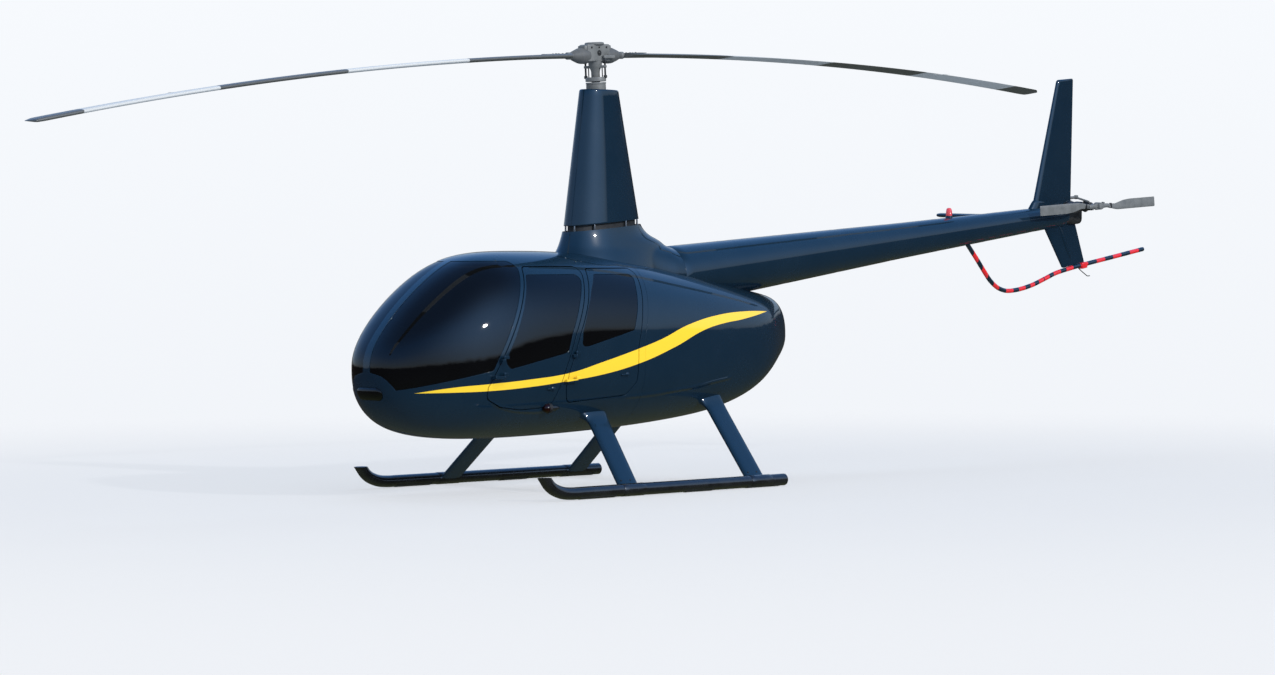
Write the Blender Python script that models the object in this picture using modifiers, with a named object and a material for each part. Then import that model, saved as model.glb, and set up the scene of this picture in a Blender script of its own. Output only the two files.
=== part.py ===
# Light four-seat helicopter with a piston engine, parked on its skids.
# Metres, +X to the nose, +Y to port, +Z up, and the ground at z = 0.
# Stations (x) are measured from the rotor mast, forward positive. At the end
# everything hangs on one empty that moves the mast to MAST_X.

import math

import bmesh
import bpy
import numpy as np
from mathutils import Matrix, Vector

# Driving dimensions
ROTOR_RADIUS = 5.03
ROTOR_CHORD = 0.254
BLADE_THICKNESS = 0.030
BLADE_ROOT = 0.285
HUB_Z = 3.24
BLADE_DROOP = 0.372
DISC_TILT = math.radians(2.75)
TAIL_ROTOR_RADIUS = 0.775
TAIL_ROTOR_CHORD = 0.085
TAIL_ROTOR = (-5.71, 0.20, 2.150)
TAIL_ROTOR_LEAN = math.radians(-3.6)
MAST_X = 0.748
FIT = 0.0003
WALL = 0.025
DOOR_GAP = 0.006
FRAME = 0.030
GLASS_DEPTH = 0.003
GLASS = 0.006

# Fuselage: station, half width, belly, waist (widest height), roof
STATIONS = np.array([
    (2.223, 0.000, 0.930, 0.930, 0.930),
    (2.198, 0.172, 0.745, 0.930, 1.060),
    (2.108, 0.310, 0.602, 0.930, 1.198),
    (1.940, 0.436, 0.492, 0.940, 1.377),
    (1.675, 0.554, 0.430, 0.950, 1.585),
    (1.340, 0.620, 0.408, 0.970, 1.739),
    (0.900, 0.643, 0.407, 0.990, 1.773),
    (0.400, 0.640, 0.420, 1.000, 1.762),
    (-0.100, 0.620, 0.444, 1.010, 1.711),
    (-0.600, 0.573, 0.483, 1.020, 1.633),
    (-1.072, 0.504, 0.549, 1.040, 1.550),
    (-1.465, 0.404, 0.675, 1.070, 1.477),
    (-1.709, 0.285, 0.839, 1.100, 1.433),
    (-1.859, 0.173, 0.986, 1.120, 1.352),
    (-1.904, 0.000, 1.120, 1.120, 1.120)])
ROUND_TOP = 2.35
ROUND_BELLY = 2.5
RINGS = 29
SIDES = 28

# Side outlines as station, height, corner radius
EDGE_SLOPE = 0.56
EDGE_FOOT = (1.585, 0.78)


def front_edge(z, shift=0.0):
    """Station of the raked line between the windscreen and the front door."""
    return EDGE_FOOT[0] + shift - EDGE_SLOPE * (z - EDGE_FOOT[1])


DOOR_TOP = 1.66
FRONT_DOOR = [
    (front_edge(DOOR_TOP), DOOR_TOP, 0.05),
    (front_edge(0.80), 0.80, 0.00),
    (1.575, 0.715, 0.05),
    (1.44, 0.650, 0.10),
    (1.25, 0.625, 0.20),
    (0.985, 0.640, 0.08),
    (0.925, 0.800, 0.05),
    (0.893, 0.890, 0.00),
    (0.775, 1.170, 0.20),
    (0.655, 1.390, 0.00),
    (0.525, DOOR_TOP, 0.05)]
REAR_DOOR = [
    (0.489, DOOR_TOP - 0.015, 0.05),
    (0.619, 1.390, 0.00),
    (0.739, 1.170, 0.20),
    (0.857, 0.890, 0.00),
    (0.875, 0.780, 0.06),
    (0.840, 0.665, 0.06),
    (0.250, 0.705, 0.08),
    (0.158, 0.800, 0.06),
    (0.152, 1.060, 0.20),
    (0.070, 1.330, 0.20),
    (-0.045, DOOR_TOP - 0.015, 0.05)]
FRONT_WINDOW = [
    (1.105, 1.600, 0.04),
    (front_edge(1.130, -0.036), 1.130, 0.00),
    (1.440, 0.980, 0.05),
    (1.395, 0.925, 0.03),
    (0.862, 1.035, 0.05),
    (0.815, 1.170, 0.20),
    (0.697, 1.390, 0.20),
    (0.575, 1.600, 0.04)]
REAR_WINDOW = [
    (0.440, 1.600, 0.04),
    (0.545, 1.480, 0.20),
    (0.640, 1.330, 0.20),
    (0.712, 1.180, 0.10),
    (0.728, 1.072, 0.03),
    (0.660, 1.075, 0.05),
    (0.190, 1.185, 0.02),
    (0.130, 1.323, 0.20),
    (0.065, 1.500, 0.20),
    (0.018, 1.598, 0.03)]
WINDSCREEN = [
    (front_edge(1.70, FRAME), 1.700, 0.05),
    (front_edge(1.02, FRAME), 1.020, 0.10),
    (1.535, 0.918, 0.03),
    (1.750, 0.872, 0.00),
    (2.150, 0.785, 0.00),
    (2.218, 0.905, 0.00),
    (2.400, 1.100, 0.00),
    (2.400, 1.700, 0.00)]
CENTRE_POST = 0.037

# The cabin ends at this raked line, and the engine cowl begins there
SPLIT = [(0.085, 0.20), (0.085, 1.12), (-0.175, 1.90)]

# Tail cone: station, axis height, radius
CONE = [
    (-0.72, 1.566, 0.240),
    (-2.21, 1.7245, 0.1885),
    (-3.39, 1.8505, 0.1465),
    (-5.08, 2.030, 0.100),
    (-5.46, 2.068, 0.090)]
CONE_SIDES = 28

# Landing gear
SKID_Y = 1.030
SKID_R = 0.0445
SHOE = 0.003
SKID_Z = SKID_R + SHOE
# Station and height above the straight part of the tube
SKID_PATH = [
    (-0.962, 0.0), (0.90, 0.0), (1.10, 0.0), (1.20, 0.0), (1.284, 0.0085), (1.358, 0.033),
    (1.401, 0.060), (1.431, 0.092), (1.443, 0.120), (1.446, 0.180)]
SKID_TIP = 0.122
SHOES = [(-0.90, 0.36), (-0.20, 0.30), (0.78, 0.36)]
LEG_CHORD = 0.195
LEG_THICKNESS = 0.032
# name, root station, root y, root height, foot station, foot y
LEGS = [
    ("front", 0.479, 0.528, 0.530, 0.607, 1.003),
    ("rear", -0.787, 0.461, 0.600, -0.694, 0.999)]

NAVY = (0.012, 0.040, 0.088)
GREY = (0.16, 0.17, 0.18)


def clear_scene():
    """Empties the file."""
    for obj in list(bpy.data.objects):
        bpy.data.objects.remove(obj, do_unlink=True)


clear_scene()
PARTS = bpy.data.collections.new("helicopter")
CUTTERS = bpy.data.collections.new("cutters")
bpy.context.scene.collection.children.link(PARTS)
bpy.context.scene.collection.children.link(CUTTERS)
MATERIALS = {}


def material(name, colour, roughness, metallic=0.0, alpha=1.0):
    """One Principled material for each finish, made once."""
    if name not in MATERIALS:
        made = bpy.data.materials.new(name)
        made.use_nodes = True
        shader = made.node_tree.nodes["Principled BSDF"]
        shader.inputs["Base Color"].default_value = (*colour, 1.0)
        shader.inputs["Roughness"].default_value = roughness
        shader.inputs["Metallic"].default_value = metallic
        shader.inputs["Alpha"].default_value = alpha
        MATERIALS[name] = made
    return MATERIALS[name]


def paint():
    return material("navy_paint", NAVY, 0.18)


def grey_paint():
    return material("grey_paint", GREY, 0.45)


def dark_metal():
    return material("dark_metal", (0.05, 0.05, 0.055), 0.5, 0.7)


def tinted_glass():
    return material("tinted_glass", (0.02, 0.03, 0.04), 0.03, 0.0, 0.35)


def upholstery():
    return material("upholstery", (0.10, 0.10, 0.11), 0.85)


# Making objects

def place(name, mesh, finish, cutter=False):
    """Puts a mesh in its collection as an object."""
    obj = bpy.data.objects.new(name, mesh)
    (CUTTERS if cutter else PARTS).objects.link(obj)
    if cutter:
        obj.hide_render = True
        obj.display_type = "WIRE"
    elif finish:
        mesh.materials.append(finish)
    return obj


def from_bmesh(name, bm, finish=None, cutter=False):
    """A closed mesh with its faces pointing out."""
    bmesh.ops.recalc_face_normals(bm, faces=bm.faces[:])
    mesh = bpy.data.meshes.new(name)
    bm.to_mesh(mesh)
    bm.free()
    return place(name, mesh, finish, cutter)


def loft(name, rings, finish=None, cutter=False, poles=(False, False)):
    """Skins a list of rings of points. An end is a fan to one point, or a flat cap."""
    bm = bmesh.new()
    rows = []
    for k, ring in enumerate(rings):
        is_pole = (k == 0 and poles[0]) or (k == len(rings) - 1 and poles[1])
        points = [np.mean(ring, axis=0)] if is_pole else ring
        rows.append([bm.verts.new(tuple(p)) for p in points])
    for a, b in zip(rows[:-1], rows[1:]):
        count = max(len(a), len(b))
        for i in range(count):
            j = (i + 1) % count
            if len(a) == 1:
                bm.faces.new((a[0], b[j], b[i]))
            elif len(b) == 1:
                bm.faces.new((a[i], a[j], b[0]))
            else:
                corners = (a[i], a[j], b[j], b[i])
                if sum(v.co.y for v in corners) < 0:
                    corners = corners[1:] + corners[:1]
                bm.faces.new(corners)
    for row in (rows[0], rows[-1]):
        if len(row) > 1:
            bm.faces.new(row)
    # The same diagonals in every offset skin, and mirrored on the other side, keep
    # the gap between two skins even
    bmesh.ops.triangulate(bm, faces=bm.faces[:], quad_method="FIXED")
    return from_bmesh(name, bm, finish, cutter)


def prism(name, outline, low, high, finish=None, cutter=False):
    """A side outline of station and height, carried across from y = low to y = high."""
    near = [(x, low, z) for x, z in outline]
    far = [(x, high, z) for x, z in outline]
    return loft(name, [near, far], finish, cutter)


def box(name, low, high, finish=None, cutter=False):
    """A box between two corners."""
    bm = bmesh.new()
    bmesh.ops.create_cube(bm, size=1.0)
    size = Vector(high) - Vector(low)
    middle = (Vector(high) + Vector(low)) / 2
    bmesh.ops.scale(bm, vec=size, verts=bm.verts)
    bmesh.ops.translate(bm, vec=middle, verts=bm.verts)
    return from_bmesh(name, bm, finish, cutter)


def rod(name, start, end, radius, end_radius=None, sides=12, finish=None, cutter=False):
    """A cylinder or cone from one point to another."""
    start = Vector(start)
    along = Vector(end) - start
    bm = bmesh.new()
    bmesh.ops.create_cone(bm, cap_ends=True, segments=sides, radius1=radius,
                          radius2=radius if end_radius is None else end_radius,
                          depth=along.length)
    turn = along.to_track_quat("Z", "Y").to_matrix().to_4x4()
    bmesh.ops.transform(bm, matrix=Matrix.Translation(start + along / 2) @ turn, verts=bm.verts)
    return from_bmesh(name, bm, finish, cutter)


def modify(obj, operation, other):
    """Adds a Boolean step with one object, or with every object of a list."""
    step = obj.modifiers.new(operation.lower(), "BOOLEAN")
    step.operation = operation
    step.solver = "EXACT"
    if isinstance(other, list):
        group = bpy.data.collections.new(obj.name + "_" + operation.lower())
        CUTTERS.children.link(group)
        for item in other:
            group.objects.link(item)
        step.operand_type = "COLLECTION"
        step.collection = group
    else:
        step.object = other
    return obj


def fuse(obj, pieces):
    """Joins hidden pieces to an object, one union after another."""
    for piece in pieces:
        modify(obj, "UNION", piece)
    return obj


def finished_mesh(obj):
    """The mesh that an object's modifiers give."""
    bpy.context.view_layer.update()
    graph = bpy.context.evaluated_depsgraph_get()
    return bpy.data.meshes.new_from_object(obj.evaluated_get(graph))


def mirrored(obj, name):
    """The same piece on the starboard side."""
    mesh = finished_mesh(obj)
    mesh.name = name
    mesh.transform(obj.matrix_world)
    mesh.transform(Matrix.Scale(-1, 4, (0, 1, 0)))
    mesh.flip_normals()
    return place(name, mesh, None)


def tube(name, path, radius, resolution=3, finish=None, cutter=False):
    """A round tube along points, as a mesh with closed ends."""
    curve = bpy.data.curves.new(name, "CURVE")
    curve.dimensions = "3D"
    curve.bevel_depth = radius
    curve.bevel_resolution = resolution
    curve.use_fill_caps = True
    spline = curve.splines.new("POLY")
    spline.points.add(len(path) - 1)
    for point, place_at in zip(spline.points, path):
        point.co = (*place_at, 1.0)
    guide = bpy.data.objects.new(name + "_guide", curve)
    CUTTERS.objects.link(guide)
    mesh = finished_mesh(guide)
    bpy.data.objects.remove(guide, do_unlink=True)
    bm = bmesh.new()
    bm.from_mesh(mesh)
    bpy.data.meshes.remove(mesh)
    bmesh.ops.remove_doubles(bm, verts=bm.verts, dist=0.00001)
    return from_bmesh(name, bm, finish, cutter)


def hang(obj, point):
    """Moves an object's origin to a point on its joint, with its shape left in place."""
    obj.data.transform(Matrix.Translation(-Vector(point)))
    obj.location = point
    return obj


# Outlines

def rounded(outline, steps=4):
    """Replaces each corner of an outline by an arc of its own radius."""
    points = []
    count = len(outline)
    for i, (x, z, radius) in enumerate(outline):
        here = Vector((x, z))
        before = Vector(outline[i - 1][:2]) - here
        after = Vector(outline[(i + 1) % count][:2]) - here
        half = before.angle(after) / 2
        if radius == 0 or half > math.radians(87):
            points.append((x, z))
            continue
        reach = min(radius / math.tan(half), 0.45 * before.length, 0.45 * after.length)
        radius = reach * math.tan(half)
        bisector = (before.normalized() + after.normalized()).normalized()
        centre = here + bisector * (radius / math.sin(half))
        first = here + before.normalized() * reach - centre
        last = here + after.normalized() * reach - centre
        sweep = first.angle_signed(last)
        for k in range(steps + 1):
            turn = Matrix.Rotation(-sweep * k / steps, 2)
            point = centre + turn @ first
            points.append((point.x, point.y))
    return points


def inset(points, distance):
    """Moves each side of a closed outline inwards, or outwards if negative."""
    ring = np.array(points)
    following = np.roll(ring, -1, axis=0)
    area = np.sum(ring[:, 0] * following[:, 1] - following[:, 0] * ring[:, 1])
    edge = following - ring
    edge /= np.linalg.norm(edge, axis=1)[:, None]
    inward = np.stack([-edge[:, 1], edge[:, 0]], axis=1) * np.sign(area)
    before = np.roll(inward, 1, axis=0)
    shift = (inward + before) / (1 + np.sum(inward * before, axis=1))[:, None]
    return [tuple(p) for p in ring + distance * shift]


# Fuselage surface

def rows_along(steps):
    """Smooth rows through STATIONS, with both ends mirrored through their poles."""
    last = len(STATIONS) - 1
    index = np.clip(np.floor(steps).astype(int), 0, last - 1)
    t = (steps - index)[:, None]
    nose = 2 * STATIONS[0] - STATIONS[1]
    tail = 2 * STATIONS[last] - STATIONS[last - 1]
    nose[0] = STATIONS[1][0]
    tail[0] = STATIONS[last - 1][0]
    padded = np.vstack([nose, STATIONS, tail])
    a, b, c, d = (padded[index + k] for k in range(4))
    rows = 0.5 * (2 * b + (c - a) * t + (2 * a - 5 * b + 4 * c - d) * t ** 2
                  + (3 * b - a - 3 * c + d) * t ** 3)
    rows[:, 1] = np.maximum(rows[:, 1], 0)
    return rows


def skin_rings(offset):
    """Rings of the body, each point moved out along its normal by offset."""
    steps = np.linspace(0, len(STATIONS) - 1, RINGS)
    rows = rows_along(steps)
    angle = (np.arange(SIDES) + 0.5) * 2 * np.pi / SIDES
    cosine = np.cos(angle)
    sine = np.sin(angle)
    power = np.where(sine >= 0, 2 / ROUND_TOP, 2 / ROUND_BELLY)
    x, half, belly, waist, roof = (rows[:, k, None] for k in range(5))
    y = half * np.sign(cosine) * np.abs(cosine) ** power
    rise = np.where(sine >= 0, roof - waist, waist - belly)
    z = waist + rise * np.sign(sine) * np.abs(sine) ** power
    grid = np.stack([np.broadcast_to(x, y.shape), y, z], axis=-1)
    along = np.gradient(grid, axis=0)
    around = np.roll(grid, -1, axis=1) - np.roll(grid, 1, axis=1)
    normal = np.cross(along, around)
    normal[0] = (1, 0, 0)
    normal[-1] = (-1, 0, 0)
    normal /= np.linalg.norm(normal, axis=-1)[..., None]
    outward = grid - np.array([0, 0, 1.0]) * waist[..., None]
    outward[..., 0] = 0
    flip = np.sign(np.sum(normal[1:-1] * outward[1:-1], axis=-1))
    normal[1:-1] *= flip[..., None]
    return grid + offset * normal


def body_solid(name, offset):
    """The closed body, larger or smaller than the outer skin by offset."""
    return loft(name, list(skin_rings(offset)), cutter=True, poles=(True, True))


def skin_y(x, z):
    """Half width of the outer skin at a station and height."""
    rows = rows_along(np.linspace(0, len(STATIONS) - 1, 400))
    row = rows[np.argmin(np.abs(rows[:, 0] - x))]
    half, belly, waist, roof = row[1:]
    power = ROUND_TOP if z >= waist else ROUND_BELLY
    rise = roof - waist if z >= waist else waist - belly
    level = min(abs(z - waist) / rise, 1.0)
    return half * (1 - level ** power) ** (1 / power)


OUTER = body_solid("cut_outer", 0.0)
OUTER_FIT = body_solid("cut_outer_fit", FIT)
INNER = body_solid("cut_inner", -WALL)
INNER_FIT = body_solid("cut_inner_fit", -WALL - FIT)
INNER_CLEAR = body_solid("cut_inner_clear", -WALL - 0.015)
GLASS_INNER = body_solid("cut_glass_inner", -GLASS_DEPTH - GLASS)

front_door_hole = rounded(FRONT_DOOR)
rear_door_hole = rounded(REAR_DOOR)
front_window_hole = rounded(FRONT_WINDOW)
rear_window_hole = rounded(REAR_WINDOW)
windscreen_hole = rounded(WINDSCREEN)
ahead = [(2.6, 0.20), *SPLIT, (2.6, 1.90)]
behind = [(x - FIT, z) for x, z in SPLIT] + [(-2.4, 1.90), (-2.4, 0.20)]
FAR_Y = 0.80
DOOR_INNER = 0.15


# Door hinges: two on each door, on an upright axis outside the skin
HINGE_PIN = 0.009
KNUCKLE = 0.022
HINGE_FOOT = 0.0075
HINGE_AXIS = {"front": (1.470, 0.634), "rear": (0.800, 0.662)}
HINGE_HEIGHTS = {"front": (0.880, 1.000), "rear": (0.840, 1.020)}


def hinge_half(door, height, on_door, root_x):
    """A knuckle, a strap along the skin and a foot sunk in the wall behind it."""
    x, y = HINGE_AXIS[door]
    low = height + 0.0005 if on_door else height - KNUCKLE
    high = low + KNUCKLE - (0.0005 if on_door else 0)
    tag = f"cut_{door}_{height}_{'door' if on_door else 'body'}"
    barrel = rod(tag + "_pin", (x, y, low), (x, y, high), HINGE_PIN, cutter=True)
    strap_low = (min(x, root_x - HINGE_FOOT), y - 0.004, low)
    strap_high = (max(x, root_x + HINGE_FOOT), y + 0.004, high)
    strap = box(tag + "_strap", strap_low, strap_high, cutter=True)
    skin = skin_y(root_x, (low + high) / 2)
    foot = box(tag + "_foot", (root_x - HINGE_FOOT, skin - WALL / 2, low),
               (root_x + HINGE_FOOT, y + 0.004, high), cutter=True)
    return [barrel, strap, foot]


def door_prism(name, door, outline, low, finish=None, cutter=False):
    """A door outline carried across, its rear edge raked along the path of its own swing."""
    axis_x, axis_y = HINGE_AXIS[door]
    rings = []
    for y in (low, FAR_Y):
        ring = []
        for x, z in outline:
            skin = skin_y(x, z)
            share = min(max((front_edge(z) - x - RAKE_START[door]) / 0.10, 0.0), 1.0)
            rake = share * (axis_y - skin) / max(axis_x - x, 0.25)
            ring.append((x + rake * (skin - y), y, z))
        rings.append(ring)
    return loft(name, rings, finish, cutter)


def both_sides(pieces):
    """The hidden pieces and their mirror images."""
    copies = []
    for piece in pieces:
        mesh = piece.data.copy()
        mesh.transform(Matrix.Scale(-1, 4, (0, 1, 0)))
        mesh.flip_normals()
        copies.append(place(piece.name + "_starboard", mesh, None, cutter=True))
    return pieces + copies


BODY_FOOT = {"front": (1.5475, 1.483), "rear": (0.891, 0.825)}
DOOR_FOOT = {"front": (1.445, 1.434), "rear": (0.770, 0.770)}
# How far behind the line of the front edge a door's rear edge begins
RAKE_START = {"front": 0.45, "rear": 0.95}


# Cabin

def make_cabin_shell():
    """Nose, roof, posts and belly in one wall, open at the back."""
    shell = loft("cabin_shell", list(skin_rings(0.0)), paint(), poles=(True, True))
    modify(shell, "DIFFERENCE", INNER)
    modify(shell, "INTERSECT", prism("cut_ahead", ahead, -FAR_Y, FAR_Y, cutter=True))
    holes = [
        prism("cut_windscreen", windscreen_hole, CENTRE_POST, FAR_Y, cutter=True),
        door_prism("cut_front_door", "front", front_door_hole, DOOR_INNER, cutter=True),
        door_prism("cut_rear_door", "rear", rear_door_hole, DOOR_INNER, cutter=True)]
    for hole in both_sides(holes):
        modify(shell, "DIFFERENCE", hole)
    modify(shell, "DIFFERENCE", lamp_hole)
    for door in ("front", "rear"):
        for height, root_x in zip(HINGE_HEIGHTS[door], BODY_FOOT[door]):
            fuse(shell, both_sides(hinge_half(door, height, False, root_x)))
    return shell


def make_door(side_name, hole, window):
    """One door on the port side, with its window cut and its hinge halves."""
    door = door_prism(f"door_{side_name}_port", side_name, inset(hole, DOOR_GAP), DOOR_INNER, paint())
    modify(door, "INTERSECT", OUTER)
    modify(door, "DIFFERENCE", INNER)
    cutter = prism(f"cut_{side_name}_window", window, 0.10, FAR_Y + 0.1, cutter=True)
    modify(door, "DIFFERENCE", cutter)
    for height, root_x in zip(HINGE_HEIGHTS[side_name], DOOR_FOOT[side_name]):
        fuse(door, hinge_half(side_name, height, True, root_x))
    return door


def make_pane(name, hole, low):
    """A pane that fills a hole, a hair smaller than it."""
    pane = loft(name, list(skin_rings(-GLASS_DEPTH)), tinted_glass(), poles=(True, True))
    modify(pane, "DIFFERENCE", GLASS_INNER)
    return modify(pane, "INTERSECT", prism("cut_" + name, inset(hole, FIT), low, FAR_Y, cutter=True))


# Nose lamp: a flat capsule across the nose
LAMP_HALF = 0.139
LAMP_R = 0.046
LAMP_Z = 0.758
LAMP_DEPTH = 0.010


def capsule(name, spread, radius, low, high, cutter=False, finish=None):
    """A capsule outline in y and z, carried along x."""
    turn = [math.pi * (k / 8 - 0.5) for k in range(9)]
    right = [(spread - radius + radius * math.cos(t), radius * math.sin(t)) for t in turn]
    left = [(-y, -z) for y, z in right]
    ring = right + left
    near = [(low, y, LAMP_Z + z) for y, z in ring]
    far = [(high, y, LAMP_Z + z) for y, z in ring]
    return loft(name, [near, far], finish, cutter)


lamp_hole = capsule("cut_lamp", LAMP_HALF, LAMP_R, 1.9, 2.5, cutter=True)


def make_lamp():
    lens = capsule("landing_light", LAMP_HALF - FIT, LAMP_R - FIT, 1.95, 2.4,
                   finish=material("lamp_glass", (0.5, 0.52, 0.55), 0.05, 0.0, 0.4))
    modify(lens, "INTERSECT", body_solid("cut_lamp_outer", -GLASS_DEPTH))
    modify(lens, "DIFFERENCE", body_solid("cut_lamp_inner", -GLASS_DEPTH - LAMP_DEPTH))
    return lens


# Engine bay

def make_engine_cowl():
    """The tapered body behind the cabin, open at its front, with the cone's seat."""
    cowl = loft("engine_cowl", list(skin_rings(0.0)), paint(), poles=(True, True))
    modify(cowl, "DIFFERENCE", INNER)
    modify(cowl, "INTERSECT", prism("cut_behind", behind, -FAR_Y, FAR_Y, cutter=True))
    modify(cowl, "DIFFERENCE", cone_solid("cut_cone_seat", FIT, cutter=True))
    return cowl


BULKHEAD = 0.020
FLOOR_Z = 0.570
FLOOR = 0.020


def make_bulkhead():
    """The raked wall behind the rear seats."""
    lean = [(x + 0.012, z) for x, z in SPLIT]
    front = [(x + BULKHEAD, z) for x, z in reversed(lean)]
    wall = prism("bulkhead", lean + front, -FAR_Y, FAR_Y, material("lining", (0.18, 0.18, 0.19), 0.8))
    return modify(wall, "INTERSECT", INNER_FIT)


def bulkhead_face(z):
    """Station of the bulkhead's front face at a height."""
    foot, knee, top = SPLIT
    lean = 0.0 if z < knee[1] else (top[0] - knee[0]) * (z - knee[1]) / (top[1] - knee[1])
    return knee[0] + 0.012 + BULKHEAD + lean


# name, box back, box front, box top, and where the rest's back face starts and ends
SEAT_BOXES = [
    ("front_seat", 0.900, 1.350, 0.790, 0.920, 0.800),
    ("rear_seat", 0.140, 0.640, 0.800, 0.205, 0.045)]
SEAT_BOX_Y = (0.045, 0.62)
CUSHION = 0.095
BACK_THICKNESS = 0.095
BACK_HEIGHT = 0.620
FLOOR_FRONT = 2.02
PEDAL_X = 1.84
PEDAL_YS = (0.200, 0.280)
PEDAL_Z = 0.715


def make_pedal(y):
    """A foot plate on a leaning arm that stands on the floor."""
    tag = f"cut_pedal_{y}"
    arm = rod(tag, (PEDAL_X + 0.045, y, FLOOR_Z + 0.005), (PEDAL_X, y, PEDAL_Z), 0.008, cutter=True)
    plate = box(tag + "_plate", (PEDAL_X - 0.012, y - 0.032, PEDAL_Z - 0.025),
                (PEDAL_X + 0.004, y + 0.032, PEDAL_Z + 0.030), cutter=True)
    return [arm, plate]


def make_floor():
    """The floor plate, the seat boxes on it and the pedals at its front."""
    floor = box("cabin_floor", (bulkhead_face(0.6) + FIT, -FAR_Y, FLOOR_Z),
                (FLOOR_FRONT, FAR_Y, FLOOR_Z + FLOOR), material("lining", (0.18, 0.18, 0.19), 0.8))
    modify(floor, "INTERSECT", INNER_FIT)
    extras = []
    for name, back, front, top, *_ in SEAT_BOXES:
        for side in (-1, 1):
            low_y, high_y = sorted(side * y for y in SEAT_BOX_Y)
            crate = box(f"cut_{name}_{side}", (back, low_y, FLOOR_Z + 0.005), (front, high_y, top), cutter=True)
            modify(crate, "INTERSECT", INNER_CLEAR)
            extras.append(crate)
    for side in (-1, 1):
        for y in PEDAL_YS:
            extras += make_pedal(side * y)
    return fuse(floor, extras)


def soften(obj, width=0.02, segments=2):
    """Rounds the edges of a plain solid."""
    step = obj.modifiers.new("round", "BEVEL")
    step.width = width
    step.segments = segments
    return obj


def make_seats():
    """Cushions on the seat boxes, and backs that lean like the posts."""
    seats = [("front_seat_port", 0, 0.045, 0.515), ("front_seat_starboard", 0, -0.515, -0.045),
             ("rear_seat", 1, -0.515, 0.515)]
    for seat, row, low_y, high_y in seats:
        name, back, front, top, foot, head = SEAT_BOXES[row]
        lean = (head - foot) / BACK_HEIGHT
        side_view = [(foot, top + FIT), (front + 0.01, top + FIT), (front + 0.01, top + CUSHION),
                     (foot + BACK_THICKNESS + lean * CUSHION, top + CUSHION),
                     (head + BACK_THICKNESS, top + BACK_HEIGHT), (head, top + BACK_HEIGHT)]
        soften(prism(seat, side_view, low_y, high_y, upholstery()))


def make_console():
    """Pedestal between the pilots' feet with the instrument panel on top."""
    outline = [(1.62, FLOOR_Z + FLOOR + FIT), (1.98, FLOOR_Z + FLOOR + FIT), (1.98, 0.80),
               (1.93, 1.10), (1.74, 1.16), (1.69, 0.92), (1.62, 0.84)]
    console = prism("instrument_console", outline, -0.16, 0.16, material("panel_black", (0.02, 0.02, 0.022), 0.6))
    modify(console, "INTERSECT", INNER_CLEAR)
    return soften(console, 0.012, 1)


def make_cyclic():
    """Centre stick with a cross bar and a grip for each pilot."""
    base = (1.46, 0.0, FLOOR_Z + FLOOR + FIT)
    stick = tube("cyclic_stick", [base, (1.46, 0, 0.72), (1.44, 0, 0.90), (1.40, 0, 1.10)], 0.014,
                 2, material("panel_black", (0.02, 0.02, 0.022), 0.6))
    bar = rod("cut_cyclic_bar", (1.40, -0.27, 1.10), (1.40, 0.27, 1.10), 0.011, cutter=True)
    grips = []
    for side in (-1, 1):
        grips.append(rod(f"cut_cyclic_grip{side}", (1.405, side * 0.26, 1.01), (1.38, side * 0.26, 1.16),
                         0.017, cutter=True))
    return fuse(stick, [bar, *grips])


def make_engine():
    """The engine as one plain block, held by two arms on the bulkhead."""
    block = box("engine_block", (-1.02, -0.25, 0.66), (-0.34, 0.25, 1.10),
                material("engine_grey", (0.18, 0.18, 0.17), 0.6, 0.6))
    arms = []
    for side in (-1, 1):
        reach = SPLIT[1][0] + 0.012 - FIT
        arms.append(box(f"cut_engine_arm{side}", (-0.40, side * 0.18 - 0.02, 0.86),
                        (reach, side * 0.18 + 0.02, 0.90), cutter=True))
    return fuse(block, arms)


# Tail

def circle_ring(x, z, radius, sides):
    turn = [2 * math.pi * (k + 0.5) / sides for k in range(sides)]
    return [(x, radius * math.cos(t), z + radius * math.sin(t)) for t in turn]


def cone_solid(name, grow, finish=None, cutter=False):
    """The tail cone, larger by grow for the seats that take it."""
    rings = [circle_ring(x, z, radius + grow, CONE_SIDES) for x, z, radius in CONE]
    rings[0] = [(x + grow, y, z) for x, y, z in rings[0]]
    return loft(name, rings, finish, cutter)


def cone_at(x):
    """Axis height and radius of the tail cone at a station."""
    table = sorted(CONE)
    stations = [row[0] for row in table]
    z = np.interp(x, stations, [row[1] for row in table])
    radius = np.interp(x, stations, [row[2] for row in table])
    return float(z), float(radius)


CONE_SKIN = 0.008


def make_tail_cone():
    """A hollow tapered tube, open at its front end."""
    cone = cone_solid("tail_cone", 0.0, paint())
    rings = []
    for k, (x, z, radius) in enumerate(CONE):
        shift = 0.01 if k == 0 else (0.012 if k == len(CONE) - 1 else 0.0)
        rings.append(circle_ring(x + shift, z, radius - CONE_SKIN, CONE_SIDES))
    return modify(cone, "DIFFERENCE", loft("cut_cone_bore", rings, cutter=True))


def section(chord, thickness, points=9):
    """A thin symmetric aerofoil: distance behind the nose, and half thickness."""
    share = [0.5 - 0.5 * math.cos(math.pi * k / (points - 1)) for k in range(points)]
    half = [2.2 * thickness * (math.sqrt(s) - s) * (1.0 - 0.25 * s) for s in share]
    upper = [(s * chord, h) for s, h in zip(share, half)]
    lower = [(s * chord, -h) for s, h in zip(share[1:-1], half[1:-1])]
    return upper + lower[::-1]


# Fins: name, root nose, root tail, tip nose, tip tail as station and height, thickness
FINS = [
    ("fin_upper", (-5.060, 2.100), (-5.575, 2.100), (-5.398, 3.235), (-5.617, 3.255), 0.050),
    ("fin_lower", (-5.200, 2.000), (-5.640, 2.000), (-5.463, 1.615), (-5.761, 1.668), 0.045)]


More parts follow.
